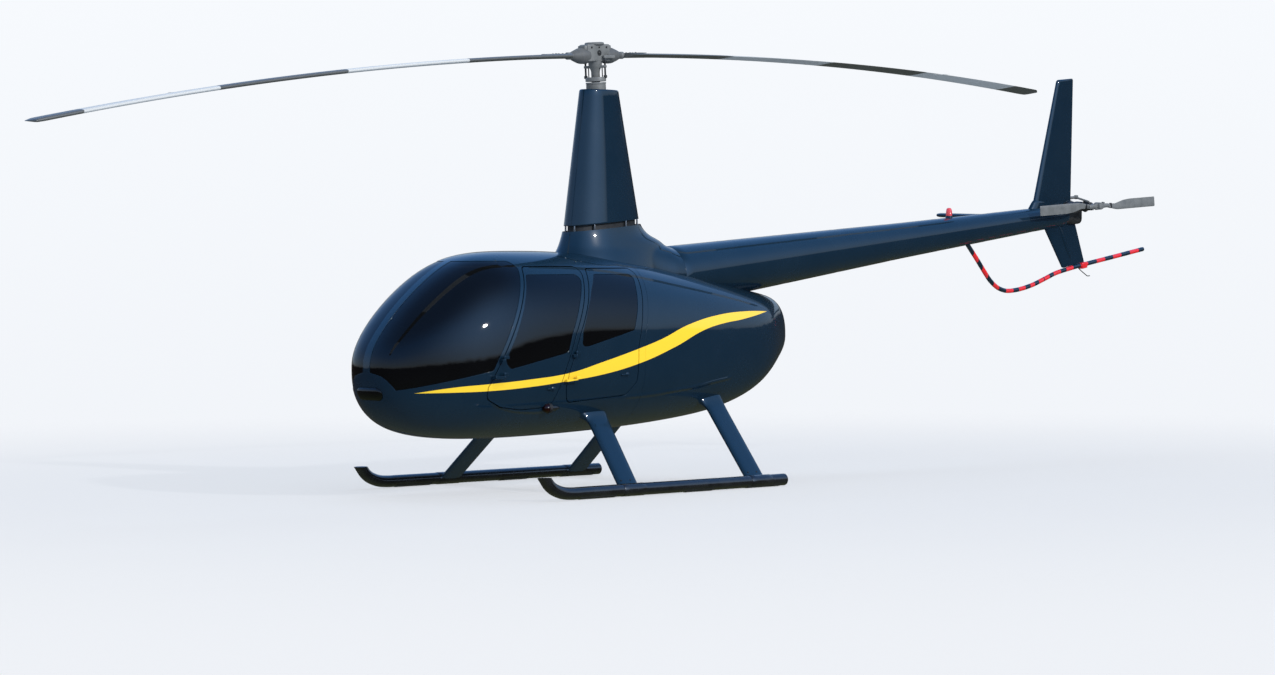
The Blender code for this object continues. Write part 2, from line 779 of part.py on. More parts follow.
def make_fin(name, root_nose, root_tail, tip_nose, tip_tail, thickness):
    """A swept fin that stands on the cone."""
    rings = []
    for nose, tail, scale in ((root_nose, root_tail, 1.0), (tip_nose, tip_tail, 0.6)):
        nose = np.array(nose)
        tail = np.array(tail)
        ring = []
        for s, h in section(1.0, thickness * scale):
            x, z = nose + (tail - nose) * s
            ring.append((x, h, z))
        rings.append(ring)
    fin = loft(name, rings, paint())
    modify(fin, "DIFFERENCE", cone_solid("cut_" + name, FIT, cutter=True))
    return modify(fin, "DIFFERENCE", gearbox_solid("cut_gearbox_" + name, FIT, cutter=True))


STABILISER_NOSE = -4.960
STABILISER_CHORD = 0.34
STABILISER_TIP = 1.010


def make_stabiliser():
    """The tailplane, on the starboard side only."""
    rings = []
    for y, z, scale in ((-0.02, 2.050, 1.0), (-STABILISER_TIP, 2.085, 0.9)):
        chord = STABILISER_CHORD * scale
        rings.append([(STABILISER_NOSE - 0.03 * (1 - scale) - s, y, z + h)
                      for s, h in section(chord, 0.040)])
    plane = loft("stabiliser", rings, paint())
    modify(plane, "DIFFERENCE", cone_solid("cut_stabiliser", FIT, cutter=True))
    return modify(plane, "DIFFERENCE", box("cut_stabiliser_port", (-6, -0.06, 1.5), (-4, 1, 2.6), cutter=True))


GEARBOX_TAIL = -5.690
GEARBOX_HALF = 0.055
GEARBOX_LOW = 1.995
GEARBOX_HIGH = 2.190


def gearbox_solid(name, grow, finish=None, cutter=False):
    """The gearbox body behind the cone, thicker by grow for its seats."""
    front = CONE[-1][0] - FIT + grow
    return box(name, (GEARBOX_TAIL - grow, -GEARBOX_HALF - grow, GEARBOX_LOW - grow),
               (front, GEARBOX_HALF + grow, GEARBOX_HIGH + grow), finish, cutter)


def make_gearbox():
    """Gearbox with the output housing towards the tail rotor."""
    x, y, z = TAIL_ROTOR
    case = gearbox_solid("tail_gearbox", 0.0, dark_metal())
    housing = rod("cut_gearbox_nose", (x, -0.045, z), (x, y - 0.075, z), 0.045, 0.035, 16, cutter=True)
    shaft = rod("cut_gearbox_shaft", (x, 0.05, z), (x, y - 0.030 - 0.0005, z), 0.016, cutter=True)
    return fuse(case, [housing, shaft])


def make_tail_rotor():
    """Hub and two blades, parked nearly level."""
    x, y, z = TAIL_ROTOR
    turn = Matrix.Rotation(TAIL_ROTOR_LEAN, 4, (0, -1, 0))
    hub = rod("tail_rotor_hub", (x, y - 0.030, z), (x, y + 0.040, z), 0.034, 0.030, 16, grey_paint())
    for side in (-1, 1):
        arm = rod(f"cut_tail_arm{side}", (0.02 * side, 0, 0), (0.135 * side, 0, 0), 0.022, 0.017, cutter=True)
        arm.data.transform(Matrix.Translation((x, y, z)) @ turn)
        fuse(hub, [arm])
    hang(hub, (x, y, z))
    for number, side in ((1, 1), (2, -1)):
        rings = []
        for reach, scale in ((0.1355, 0.55), (0.20, 1.0), (TAIL_ROTOR_RADIUS - 0.02, 1.0),
                             (TAIL_ROTOR_RADIUS, 0.8)):
            chord = TAIL_ROTOR_CHORD * scale
            rings.append([(side * reach, h, side * (chord / 2 - s)) for s, h in section(chord, 0.014)])
        blade = loft(f"tail_blade_{number}", rings, grey_paint())
        blade.data.transform(turn)
        blade.location = (x, y, z)


COWL_TOP = 1.940
FAIRING_FOOT = 1.982
FAIRING_TOP = 2.985
# The joint between the cowl and the mast fairing rises towards the tail by this much a metre
JOINT_SLOPE = 0.087
# height, reach ahead of the mast, reach behind it, half width, share of the slope
COWL_RINGS = [
    (1.550, 0.470, 0.600, 0.300, 0.0),
    (1.700, 0.400, 0.660, 0.245, 0.0),
    (1.785, 0.355, 0.695, 0.208, 0.2),
    (1.825, 0.338, 0.640, 0.195, 0.4),
    (1.866, 0.326, 0.530, 0.183, 0.6),
    (1.905, 0.315, 0.468, 0.173, 0.8),
    (COWL_TOP, 0.308, 0.438, 0.166, 1.0)]
NECK_STEP = 0.030


def plan_ring(z, fore, aft, half, slope=0.0, count=24):
    """An egg-shaped plan section round the mast, in a plane that may rise towards the tail."""
    ring = []
    for k in range(count):
        t = 2 * math.pi * (k + 0.5) / count
        x = (fore if math.cos(t) > 0 else aft) * math.cos(t)
        ring.append((x, half * math.sin(t), z - slope * x))
    return ring


def make_roof_cowl():
    """The fairing between the roof, the mast fairing and the tail cone."""
    rings = [plan_ring(z, fore, aft, half, share * JOINT_SLOPE) for z, fore, aft, half, share in COWL_RINGS]
    cowl = loft("roof_cowl", rings, paint())
    aft_rings = []
    # station, axis height, half width, half height
    for x, z, half, rise in ((-0.05, 1.66, 0.21, 0.26), (-0.25, 1.63, 0.20, 0.27), (-0.42, 1.61, 0.205, 0.27),
                             (-0.55, 1.59, 0.222, 0.255), (-0.64, 1.580, 0.236, 0.245), (-0.7197, 1.566, 0.240, 0.240)):
        turn = [2 * math.pi * (k + 0.5) / CONE_SIDES for k in range(CONE_SIDES)]
        aft_rings.append([(x, half * math.cos(t), z + rise * math.sin(t)) for t in turn])
    fuse(cowl, [loft("cut_cowl_aft", aft_rings, cutter=True)])
    return modify(cowl, "DIFFERENCE", OUTER_FIT)


# Reach ahead of the mast, reach behind it and half width, at the foot and at the top
FAIRING_PLAN = ((0.292, 0.418, 0.160), (0.137, 0.225, 0.090))


def make_mast_fairing():
    """The tall tapered fairing, on a narrower neck that stands on the roof cowl."""
    foot, top = np.array(FAIRING_PLAN)
    rings = []
    for share in (0.0, 0.08, 0.5, 0.97, 1.0):
        z = FAIRING_FOOT + (FAIRING_TOP - FAIRING_FOOT) * share
        rings.append(plan_ring(z, *(foot + (top - foot) * share), JOINT_SLOPE * (1 - share)))
    fairing = loft("mast_fairing", rings, paint())
    neck = [plan_ring(z, *(foot - NECK_STEP), JOINT_SLOPE) for z in (COWL_TOP + FIT, FAIRING_FOOT + 0.02)]
    return fuse(fairing, [loft("cut_fairing_neck", neck, cutter=True)])


# Rotor head: heights below and above the middle of the hub, along the tilted spin axis
SWASH_STILL_TOP = -0.200
SWASH_TURNING = (-0.195, -0.162)
MAST_FOOT = -0.1995
HUB_BLOCK = (-0.045, 0.105)
HUB_CAP = (0.100, 0.122)
BOOT = (0.062, 0.030)
LINK_ARM = (-0.024, 0.0)
RIG =Matrix.Translation((0, 0, HUB_Z)) @ Matrix.Rotation(DISC_TILT, 4, "Y")


def make_swashplate():
    """The part of the swashplate that stays still, seated on the fairing."""
    plate = rod("swashplate", (0, 0, -0.300), (0, 0, SWASH_STILL_TOP), 0.078, 0.078, 24, dark_metal())
    plate.data.transform(RIG)
    seat = box("cut_swashplate_foot", (-0.2, -0.2, 2.80), (0.2, 0.2, FAIRING_TOP + FIT), cutter=True)
    return modify(plate, "DIFFERENCE", seat)


def make_rotor_head():
    """Mast, turning swashplate, pitch links, yoke and blade roots."""
    head = rod("rotor_head", (0, 0, MAST_FOOT), (0, 0, 0.08), 0.033, None, 20, dark_metal())
    pieces = [rod("cut_swash_top", (0, 0, SWASH_TURNING[0]), (0, 0, SWASH_TURNING[1]), 0.080, 0.076, 24,
                  cutter=True),
              box("cut_hub_block", (-0.100, -0.055, HUB_BLOCK[0]), (0.100, 0.055, HUB_BLOCK[1]), cutter=True),
              box("cut_yoke", (-0.155, -0.045, 0.035), (0.155, 0.045, 0.085), cutter=True),
              rod("cut_hub_cap", (0, 0, HUB_CAP[0]), (0, 0, HUB_CAP[1]), 0.074, 0.066, 20, cutter=True)]
    low, high = LINK_ARM
    for side in (-1, 1):
        # The arm stands ahead of one boot and behind the other, so both turn the same way
        near_x, far_x = sorted((side * 0.023, side * 0.135))
        near_y, far_y = sorted((side * -0.058, side * -0.082))
        knee = side * 0.125
        pieces += [
            rod(f"cut_boot{side}", (side * 0.090, 0, 0), (side * 0.265, 0, 0), *BOOT, 20, cutter=True),
            rod(f"cut_grip{side}", (side * 0.260, 0, 0), (side * (BLADE_ROOT - FIT), 0, 0), BOOT[1], None, 20,
                cutter=True),
            box(f"cut_arm{side}", (near_x, near_y, low), (far_x, far_y, high), cutter=True),
            box(f"cut_knee{side}", (knee - 0.009, min(0, side * -0.080), low + 0.002),
                (knee + 0.009, max(0, side * -0.080), high - 0.002), cutter=True),
            rod(f"cut_link{side}", (side * 0.035, side * -0.070, -0.010), (side * 0.033, side * -0.062, -0.175),
                0.009, cutter=True)]
    for piece in [head, *pieces]:
        piece.data.transform(RIG)
    fuse(head, pieces)
    return hang(head, (0, 0, HUB_Z))


def blade_line(reach):
    """Height of a blade's middle at a distance from the hub, from its own weight."""
    return -BLADE_DROOP * (reach / ROTOR_RADIUS) ** 2


def make_main_blades():
    """Two drooping blades. Their noses face the way they turn."""
    spans = np.linspace(BLADE_ROOT, ROTOR_RADIUS - 0.10, 12).tolist()
    for number, side in ((1, 1), (2, -1)):
        rings = []
        for reach in spans + [ROTOR_RADIUS]:
            scale = 0.35 if reach == ROTOR_RADIUS else 1.0
            chord = ROTOR_CHORD * scale
            root = reach == BLADE_ROOT
            thickness = 0.036 if root else BLADE_THICKNESS * max(scale, 0.6)
            nose = side * (ROTOR_CHORD * 0.30 - (ROTOR_CHORD - chord) * 0.5)
            rings.append([(side * reach, nose - side * s, blade_line(reach) + h)
                          for s, h in section(chord, thickness)])
        blade = loft(f"main_blade_{number}", rings, grey_paint())
        blade.data.transform(Matrix.Rotation(DISC_TILT, 4, "Y"))
        blade.location = (0, 0, HUB_Z)


# Guard under the tail rotor: station and height, in one upright plane
GUARD = [
    (-4.250, 1.800), (-4.350, 1.695), (-4.450, 1.585), (-4.520, 1.515), (-4.600, 1.462), (-4.680, 1.435),
    (-4.760, 1.427), (-4.900, 1.440), (-5.070, 1.476), (-5.240, 1.530), (-5.380, 1.575), (-5.560, 1.612),
    (-5.760, 1.648), (-6.170, 1.714), (-6.500, 1.768)]
GUARD_R = 0.019


def make_guard():
    """Tube from the cone's underside, past the lower fin, to behind the tail rotor."""
    top_z, top_r = cone_at(GUARD[0][0])
    path = [(GUARD[0][0] + 0.03, 0, top_z - top_r + 0.03)] + [(x, 0, z) for x, z in GUARD]
    guard = tube("tail_guard", path, GUARD_R, 2, material("guard_red", (0.75, 0.02, 0.03), 0.35))
    return modify(guard, "DIFFERENCE", cone_solid("cut_guard_seat", FIT, cutter=True))


def make_strobe():
    """Flashing lamp on top of the cone."""
    x = -4.00
    z, radius = cone_at(x)
    lamp = rod("strobe_light", (x, 0, z + radius - 0.01), (x, 0, z + radius + 0.080), 0.030, 0.022, 16,
               material("red_lens", (0.8, 0.03, 0.08), 0.1))
    return modify(lamp, "DIFFERENCE", cone_solid("cut_strobe", FIT, cutter=True))


NAV = (0.985, 0.645)


def make_nav_light(side, name, colour):
    """A teardrop lamp on the lower flank."""
    x, z = NAV
    y = skin_y(x, z) + 0.004
    bm = bmesh.new()
    bmesh.ops.create_uvsphere(bm, u_segments=14, v_segments=8, radius=1.0)
    bmesh.ops.scale(bm, vec=(0.075, 0.034, 0.030), verts=bm.verts)
    bmesh.ops.translate(bm, vec=(x, side * y, z), verts=bm.verts)
    lamp = from_bmesh(name, bm, material(name + "_lens", colour, 0.1))
    return modify(lamp, "DIFFERENCE", OUTER_FIT)


# Landing gear

SHOE_HALF = 0.025


def make_skid(side, name):
    """Tube with an upturned front end that is cut level, and flat shoes under it."""
    path = [(x, side * SKID_Y, SKID_Z + rise) for x, rise in SKID_PATH]
    skid = tube(name, path, SKID_R, 3, paint())
    above = box(f"cut_{name}_tip", (1.2, side * SKID_Y - 0.1, SKID_Z + SKID_TIP),
                (1.7, side * SKID_Y + 0.1, SKID_Z + SKID_TIP + 0.2), cutter=True)
    modify(skid, "DIFFERENCE", above)
    shoes = []
    for back, length in SHOES:
        shoes.append(box(f"cut_{name}_shoe{back}", (back, side * SKID_Y - SHOE_HALF, 0.0),
                         (back + length, side * SKID_Y + SHOE_HALF, 0.030), cutter=True))
    return fuse(skid, shoes)


FLATNESS = 0.6


def leg_ring(centre, across, chord, thickness, count=16):
    """A flat section with round edges, long in x, thin across the leg."""
    ring = []
    for k in range(count):
        t = 2 * math.pi * (k + 0.5) / count
        ahead_by = math.copysign(abs(math.cos(t)) ** FLATNESS, math.cos(t))
        out_by = math.copysign(abs(math.sin(t)) ** FLATNESS, math.sin(t))
        ring.append(tuple(centre + Vector((chord / 2 * ahead_by, 0, 0)) + across * (thickness / 2 * out_by)))
    return ring


# Share of the leg from its foot, shift ahead, and chord and thickness as shares of the leg's own
LEG_RINGS = [
    (0.0, 0.0, 0.98, 1.0),
    (0.94, 0.0, 1.02, 1.0),
    (1.01, 0.008, 1.10, 1.5),
    (1.07, 0.028, 1.30, 2.4),
    (1.22, 0.095, 1.95, 4.2)]


def make_leg(tag, root_x, root_y, root_z, foot_x, foot_y):
    """A leg from the flank to the port skid, with its flared root."""
    root = Vector((root_x, root_y, root_z))
    foot = Vector((foot_x, foot_y, SKID_Z))
    along = (root - foot).normalized()
    across = Vector((0, along.z, -along.y)).normalized()
    length = (root - foot).length
    rings = []
    for share, shift, chord, thickness in LEG_RINGS:
        centre = foot + along * (length * share) + Vector((shift, 0, 0))
        rings.append(leg_ring(centre, across, LEG_CHORD * chord, LEG_THICKNESS * thickness))
    leg = loft(f"leg_{tag}_port", rings, paint())
    modify(leg, "DIFFERENCE", OUTER_FIT)
    seat = rod(f"cut_leg_seat_{tag}", (foot_x - 0.4, SKID_Y, SKID_Z), (foot_x + 0.4, SKID_Y, SKID_Z),
               SKID_R + 0.0008, None, 32, cutter=True)
    modify(leg, "DIFFERENCE", seat)
    below = box(f"cut_leg_below_{tag}", (foot_x - 0.4, SKID_Y - 0.3, -0.1),
                (foot_x + 0.4, SKID_Y + 0.3, SKID_Z + 0.012), cutter=True)
    modify(leg, "DIFFERENCE", below)
    mirrored(leg, f"leg_{tag}_starboard")


make_cabin_shell()
for tag, hole, window, low in (("front", front_door_hole, front_window_hole, 0.15),
                               ("rear", rear_door_hole, rear_window_hole, 0.15)):
    door = make_door(tag, hole, window)
    twin = mirrored(door, f"door_{tag}_starboard")
    pane = make_pane(f"door_window_{tag}_port", window, low)
    twin_pane = mirrored(pane, f"door_window_{tag}_starboard")
    x, y = HINGE_AXIS[tag]
    z = HINGE_HEIGHTS[tag][0]
    for piece, side in ((door, 1), (pane, 1), (twin, -1), (twin_pane, -1)):
        hang(piece, (x, side * y, z))
screen = make_pane("windscreen_port", windscreen_hole, CENTRE_POST + FIT)
mirrored(screen, "windscreen_starboard")
make_lamp()
make_engine_cowl()
make_bulkhead()
make_floor()
make_seats()
make_console()
make_cyclic()
make_engine()
make_roof_cowl()
make_mast_fairing()
make_swashplate()
make_rotor_head()
make_main_blades()
make_tail_cone()
for row in FINS:
    make_fin(*row)
make_stabiliser()
make_gearbox()
make_tail_rotor()
make_guard()
make_strobe()
make_nav_light(1, "nav_light_port", (0.8, 0.03, 0.04))
make_nav_light(-1, "nav_light_starboard", (0.03, 0.6, 0.15))
make_skid(1, "skid_port")
make_skid(-1, "skid_starboard")
for row in LEGS:
    make_leg(*row)

mast = bpy.data.objects.new("helicopter_origin", None)
PARTS.objects.link(mast)
for obj in list(bpy.data.objects):
    if obj is not mast and obj.parent is None:
        obj.parent = mast
mast.location = (MAST_X, 0, 0)
bpy.context.view_layer.update()
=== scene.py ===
# %% [markdown]
# # A light piston helicopter on its skids
# The machine stands parked, with its two main blades fore and aft and its tail
# rotor level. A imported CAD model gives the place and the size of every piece,
# and its joints. This lesson lays the fine surfaces over it: the smooth body,
# the glass, the cabin and the rotor head. Each is a formula on a grid of
# numbers, so a curve can be made finer or coarser by one value.

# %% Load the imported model
import math

import bmesh
import bpy
import numpy as np
from mathutils import Matrix, Vector
from mathutils.geometry import delaunay_2d_cdt


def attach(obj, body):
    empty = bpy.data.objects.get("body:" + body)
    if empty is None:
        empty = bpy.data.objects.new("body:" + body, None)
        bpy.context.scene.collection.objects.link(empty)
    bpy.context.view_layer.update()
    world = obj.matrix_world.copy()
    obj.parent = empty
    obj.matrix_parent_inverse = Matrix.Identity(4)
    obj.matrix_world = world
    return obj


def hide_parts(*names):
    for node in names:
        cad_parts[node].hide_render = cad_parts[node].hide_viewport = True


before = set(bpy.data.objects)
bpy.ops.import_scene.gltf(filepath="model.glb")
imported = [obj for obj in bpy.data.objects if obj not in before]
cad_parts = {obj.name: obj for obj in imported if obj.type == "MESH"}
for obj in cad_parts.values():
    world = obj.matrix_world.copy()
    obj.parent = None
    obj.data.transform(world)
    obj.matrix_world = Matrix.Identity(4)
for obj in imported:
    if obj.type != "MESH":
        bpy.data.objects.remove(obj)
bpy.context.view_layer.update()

# %% [markdown]
# ## Camera
# The photograph was taken from ahead and to port, about 26 m away at eye
# height, with a long lens. The camera is built from three directions: where it
# looks, what is to its right, and what is up. Lengths along the machine are
# measured from the rotor mast, and MAST_X is the mast's own place.

# %% Camera
MAST_X = 0.748
MAST = np.array([MAST_X, 0.0, 0.0])
CAMERA_PLACE = Vector((17.546 + MAST_X, 19.054, 1.670))
CAMERA_YAW, CAMERA_PITCH, CAMERA_ROLL = -2.32698, 0.02132, -0.0054
LENS_LENGTH, SENSOR_WIDTH = 97.06, 36.0
scene = bpy.context.scene
camera = bpy.data.objects.new("camera", bpy.data.cameras.new("camera"))
scene.collection.objects.link(camera)
scene.camera = camera
forward = Vector((math.cos(CAMERA_PITCH) * math.cos(CAMERA_YAW),
                  math.cos(CAMERA_PITCH) * math.sin(CAMERA_YAW), -math.sin(CAMERA_PITCH)))
level = Vector((math.sin(CAMERA_YAW), -math.cos(CAMERA_YAW), 0.0))
upward = level.cross(forward)
right = level * math.cos(CAMERA_ROLL) + upward * math.sin(CAMERA_ROLL)
upward = upward * math.cos(CAMERA_ROLL) - level * math.sin(CAMERA_ROLL)
turn = Matrix((right, upward, -forward)).transposed().to_4x4()
camera.matrix_world = Matrix.Translation(CAMERA_PLACE) @ turn
camera.data.lens = LENS_LENGTH
camera.data.sensor_width = SENSOR_WIDTH
camera.data.clip_start, camera.data.clip_end = 0.1, 1000.0
print("camera", [round(v, 2) for v in CAMERA_PLACE])

# %% [markdown]
# ## Shader helpers
# Every finish is a small graph of nodes. A few short ways to add a node keep
# each graph readable. Two effects are used by many finishes, so each is a node
# group made once: a patchy mask for dust and dull spots, and a fine grain that
# gives a bump its height.

# %% Node helpers
class Graph:
    """A node tree with short ways to add to it. An input is a number, a colour or another node's socket."""

    def __init__(self, tree):
        self.tree = tree

    def feed(self, socket, value):
        """Gives a socket its value or its link."""
        if isinstance(value, bpy.types.NodeSocket):
            self.tree.links.new(value, socket)
        else:
            socket.default_value = (*value, 1.0) if isinstance(value, tuple) else value

    def add(self, kind, *inputs, **named):
        """A node with its first inputs in order, and other inputs and settings by name."""
        made = self.tree.nodes.new("ShaderNode" + kind)
        for key, value in named.items():
            if hasattr(made, key):
                setattr(made, key, value)
            else:
                self.feed(made.inputs[key.replace("_", " ")], value)
        for socket, value in zip(made.inputs, inputs):
            self.feed(socket, value)
        return made

    def place(self):
        """The Object coordinates."""
        return self.add("TexCoord").outputs["Object"]

    def axes(self, vector=None):
        """The three parts of a vector, or else of the Object coordinates."""
        return self.add("SeparateXYZ", vector or self.place()).outputs

    def maths(self, operation, *values):
        """The result of a Math node."""
        return self.add("Math", *values, operation=operation).outputs[0]

    def ramp(self, value, low, high, out_low=0.0, out_high=1.0):
        """The value's share of low..high, smooth at both ends, as out_low..out_high."""
        made = self.add("MapRange", value, low, high, out_low, out_high, interpolation_type="SMOOTHSTEP")
        return made.outputs["Result"]

    def mix(self, share, first, second, **settings):
        """Two colours mixed."""
        made = self.add("Mix", data_type="RGBA", **settings)
        for number, value in ((0, share), (6, first), (7, second)):
            self.feed(made.inputs[number], value)
        return made.outputs[2]

    def colour_steps(self, value, rows, interpolation="LINEAR"):
        """A colour ramp from rows of place and colour."""
        made = self.add("ValToRGB", value)
        made.color_ramp.interpolation = interpolation
        elements = made.color_ramp.elements
        while len(elements) < len(rows):
            elements.new(0.5)
        for element, (place, colour) in zip(elements, rows):
            element.position = place
            element.color = (*colour, 1.0)
        return made.outputs["Color"]


def new_group(name, inputs, output):
    """A node group with float inputs and one float output: its graph, its inputs and its output."""
    tree = bpy.data.node_groups.new(name, "ShaderNodeTree")
    for label, value in inputs.items():
        socket = tree.interface.new_socket(name=label, in_out="INPUT", socket_type="NodeSocketFloat")
        socket.default_value = value
    tree.interface.new_socket(name=output, in_out="OUTPUT", socket_type="NodeSocketFloat")
    return Graph(tree), tree.nodes.new("NodeGroupInput").outputs, tree.nodes.new("NodeGroupOutput").inputs[0]


# %% Shared effects
patches, given, result = new_group("patches", {"Scale": 3.0, "Spread": 0.2}, "Mask")
clouds = patches.add("TexNoise", Vector=patches.place(), Scale=given["Scale"], Detail=6.0, Roughness=0.62)
above_edge = patches.maths("SUBTRACT", clouds.outputs[0], patches.maths("SUBTRACT", 0.5, given["Spread"]))
share = patches.maths("DIVIDE", above_edge, patches.maths("MULTIPLY", given["Spread"], 2.0))
patches.feed(result, patches.add("Clamp", share).outputs[0])

grain, given, result = new_group("grain", {"Scale": 300.0, "Cells": 0.0}, "Height")
specks = grain.add("TexNoise", Vector=grain.place(), Scale=given["Scale"], Detail=2.0)
cells = grain.add("TexVoronoi", Vector=grain.place(), Scale=given["Scale"])
cell_part = grain.maths("MULTIPLY", cells.outputs["Distance"], given["Cells"])
grain.feed(result, grain.maths("ADD", specks.outputs[0], cell_part))
print("groups", [group.name for group in bpy.data.node_groups])

# %% [markdown]
# ## Finishes
# Most finishes are alike: two close colours that patches blend, a roughness
# that the same patches vary, and a fine bump. One helper makes those. The
# values that are the same all over are set on the shader's own sockets.

# %% Finish helper
GRAIN_DEPTH = 0.001
# The finishes by name. The CAD model has plain materials of its own with some of the same names
FINISHES = {}


def finish(name, colour, second, rough, patch, bump=0.0, bump_scale=300.0, cells=0.0, **plain):
    """A Principled finish from two colours, two roughness values and a grain. Returns its graph."""
    made = bpy.data.materials.new(name)
    FINISHES[name] = made
    made.use_nodes = True
    graph = Graph(made.node_tree)
    graph.shader = made.node_tree.nodes["Principled BSDF"]
    for key, value in plain.items():
        graph.shader.inputs[key.replace("_", " ")].default_value = value
    mask = graph.add("Group", node_tree=patches.tree, Scale=patch).outputs["Mask"]
    graph.colour = graph.mix(mask, colour, second)
    graph.feed(graph.shader.inputs["Base Color"], graph.colour)
    graph.feed(graph.shader.inputs["Roughness"], graph.ramp(mask, 0.0, 1.0, *rough))
    if bump > 0:
        height = graph.add("Group", node_tree=grain.tree, Scale=bump_scale, Cells=cells).outputs["Height"]
        graph.grain = graph.add("Bump", Strength=bump, Distance=GRAIN_DEPTH, Height=height)
        graph.feed(graph.shader.inputs["Normal"], graph.grain.outputs["Normal"])
    return graph


# %% [markdown]
# ## Navy paint with its yellow stripe
# The stripe on the real machine is paint, and it runs over the nose, both doors
# and the engine bay without a step. So here it is a part of the paint: two
# curves give its upper and its lower edge as heights along the machine, and a
# point between them is yellow. Nothing has to be cut where the doors part. Two
# moulded lines low on each flank are curves of the same kind, raised by a bump.

# %% Navy paint
NAVY = (0.0040, 0.0155, 0.0310)
NAVY_DUSTY = (0.0055, 0.0180, 0.0345)
YELLOW = (0.920, 0.600, 0.038)
STRIPE_TOP = [(-1.478, 1.300), (-1.125, 1.304), (-0.805, 1.284), (-0.430, 1.220), (-0.090, 1.113),
              (0.158, 1.047), (0.527, 0.958), (0.877, 0.882), (1.250, 0.846), (1.570, 0.823), (1.810, 0.805),
              (2.060, 0.766)]
STRIPE_LOW = [(-1.478, 1.300), (-1.100, 1.247), (-0.800, 1.214), (-0.594, 1.174), (-0.244, 1.054),
              (0.158, 0.937), (0.527, 0.866), (0.893, 0.824), (1.240, 0.792), (1.569, 0.773), (1.800, 0.768),
              (2.060, 0.766)]
STRIPE_START, STRIPE_END = -1.478, 2.060
LOWEST, HIGHEST = 0.55, 1.45


def edge_curve(graph, station, rows):
    """Height of an edge: a Float Curve from station to height, both scaled to 0..1."""
    length, rise = STRIPE_END - STRIPE_START, HIGHEST - LOWEST
    share = graph.maths("DIVIDE", graph.maths("SUBTRACT", station, STRIPE_START + MAST_X), length)
    made = graph.add("FloatCurve", Value=share)
    points = made.mapping.curves[0].points
    while len(points) < len(rows):
        points.new(0.5, 0.5)
    for point, (x, z) in zip(points, rows):
        point.location = (x - STRIPE_START) / length, (z - LOWEST) / rise
    made.mapping.update()
    return graph.maths("ADD", graph.maths("MULTIPLY", made.outputs[0], rise), LOWEST)


paint = finish("navy_paint", NAVY, NAVY_DUSTY, (0.20, 0.30), 2.5, 0.018, 160.0, Coat_Weight=1.0,
               Coat_Roughness=0.035, Coat_IOR=1.5, Specular_IOR_Level=0.06)
station, _, height = paint.axes()
below_top = paint.maths("SUBTRACT", edge_curve(paint, station, STRIPE_TOP), height)
above_low = paint.maths("SUBTRACT", height, edge_curve(paint, station, STRIPE_LOW))
between = paint.ramp(paint.maths("MINIMUM", below_top, above_low), -0.0006, 0.0010)
inside_ends = paint.maths("MULTIPLY", paint.maths("GREATER_THAN", station, STRIPE_START + MAST_X),
                          paint.maths("LESS_THAN", station, STRIPE_END + MAST_X))
stripe = paint.maths("MULTIPLY", between, inside_ends)
paint.feed(paint.shader.inputs["Base Color"], paint.mix(stripe, paint.colour, YELLOW))
print("stripe from", STRIPE_START, "to", STRIPE_END)

# %% Moulded lines
LINE_HALF, LINE_HEIGHT, LINE_FADE = 0.022, 0.009, 0.10
# For each line: its heights along the machine, and the stations where it fades out
MOULDED_LINES = [
    ([(-1.478, 0.612), (1.050, 0.612), (1.152, 0.614), (1.295, 0.626), (1.444, 0.660), (1.546, 0.700),
      (2.060, 0.950)], 1.00, 1.56),
    ([(-1.478, 0.880), (-0.937, 0.803), (-0.741, 0.780), (-0.565, 0.752), (-0.283, 0.726), (-0.017, 0.702),
      (0.246, 0.693), (2.060, 0.680)], -0.97, 0.28)]
lines = []
for rows, aft, ahead in MOULDED_LINES:
    off = paint.maths("ABSOLUTE", paint.maths("SUBTRACT", height, edge_curve(paint, station, rows)))
    fade_in = paint.ramp(station, aft + MAST_X, aft + MAST_X + LINE_FADE)
    fade_out = paint.ramp(station, ahead + MAST_X - LINE_FADE, ahead + MAST_X, 1.0, 0.0)
    near_line = paint.ramp(off, 0.0, LINE_HALF, 1.0, 0.0)
    lines.append(paint.maths("MULTIPLY", near_line, paint.maths("MULTIPLY", fade_in, fade_out)))
ridge = paint.add("Bump", Strength=1.0, Distance=LINE_HEIGHT, Height=paint.maths("ADD", *lines))
for socket in (paint.shader.inputs["Coat Normal"], paint.grain.inputs["Normal"]):
    paint.feed(socket, ridge.outputs["Normal"])
print("moulded lines", len(lines))

# %% [markdown]
# ## Blade paint
# Main blades are banded grey and white so that they show while they turn. The
# bands follow the distance from the hub.

# %% Blade paint
WHITE_BANDS = [(1.30, 2.42), (3.53, 4.64)]
BAND_EDGE = 0.001
BLADE_WHITE = (0.520, 0.525, 0.520)
paint = finish("blade_paint", (0.080, 0.082, 0.080), (0.095, 0.098, 0.096), (0.34, 0.46), 3.0, 0.03, 420.0,
               Coat_Weight=0.25, Coat_Roughness=0.15)
reach = paint.maths("ABSOLUTE", paint.maths("SUBTRACT", paint.axes()[0], MAST_X))
white = 0.0
for inner, outer in WHITE_BANDS:
    past = paint.ramp(reach, inner - BAND_EDGE, inner + BAND_EDGE)
    before = paint.ramp(reach, outer - BAND_EDGE, outer + BAND_EDGE, 1.0, 0.0)
    white = paint.maths("ADD", white, paint.maths("MULTIPLY", past, before))
paint.feed(paint.shader.inputs["Base Color"], paint.mix(white, paint.colour, BLADE_WHITE))

# %% [markdown]
# ## Plain finishes
# Metal, rubber, cloth and trim differ in their two colours, in how rough they
# are, and in how large their patches and their grain are. Leather and carpet
# also have small cells in the grain.

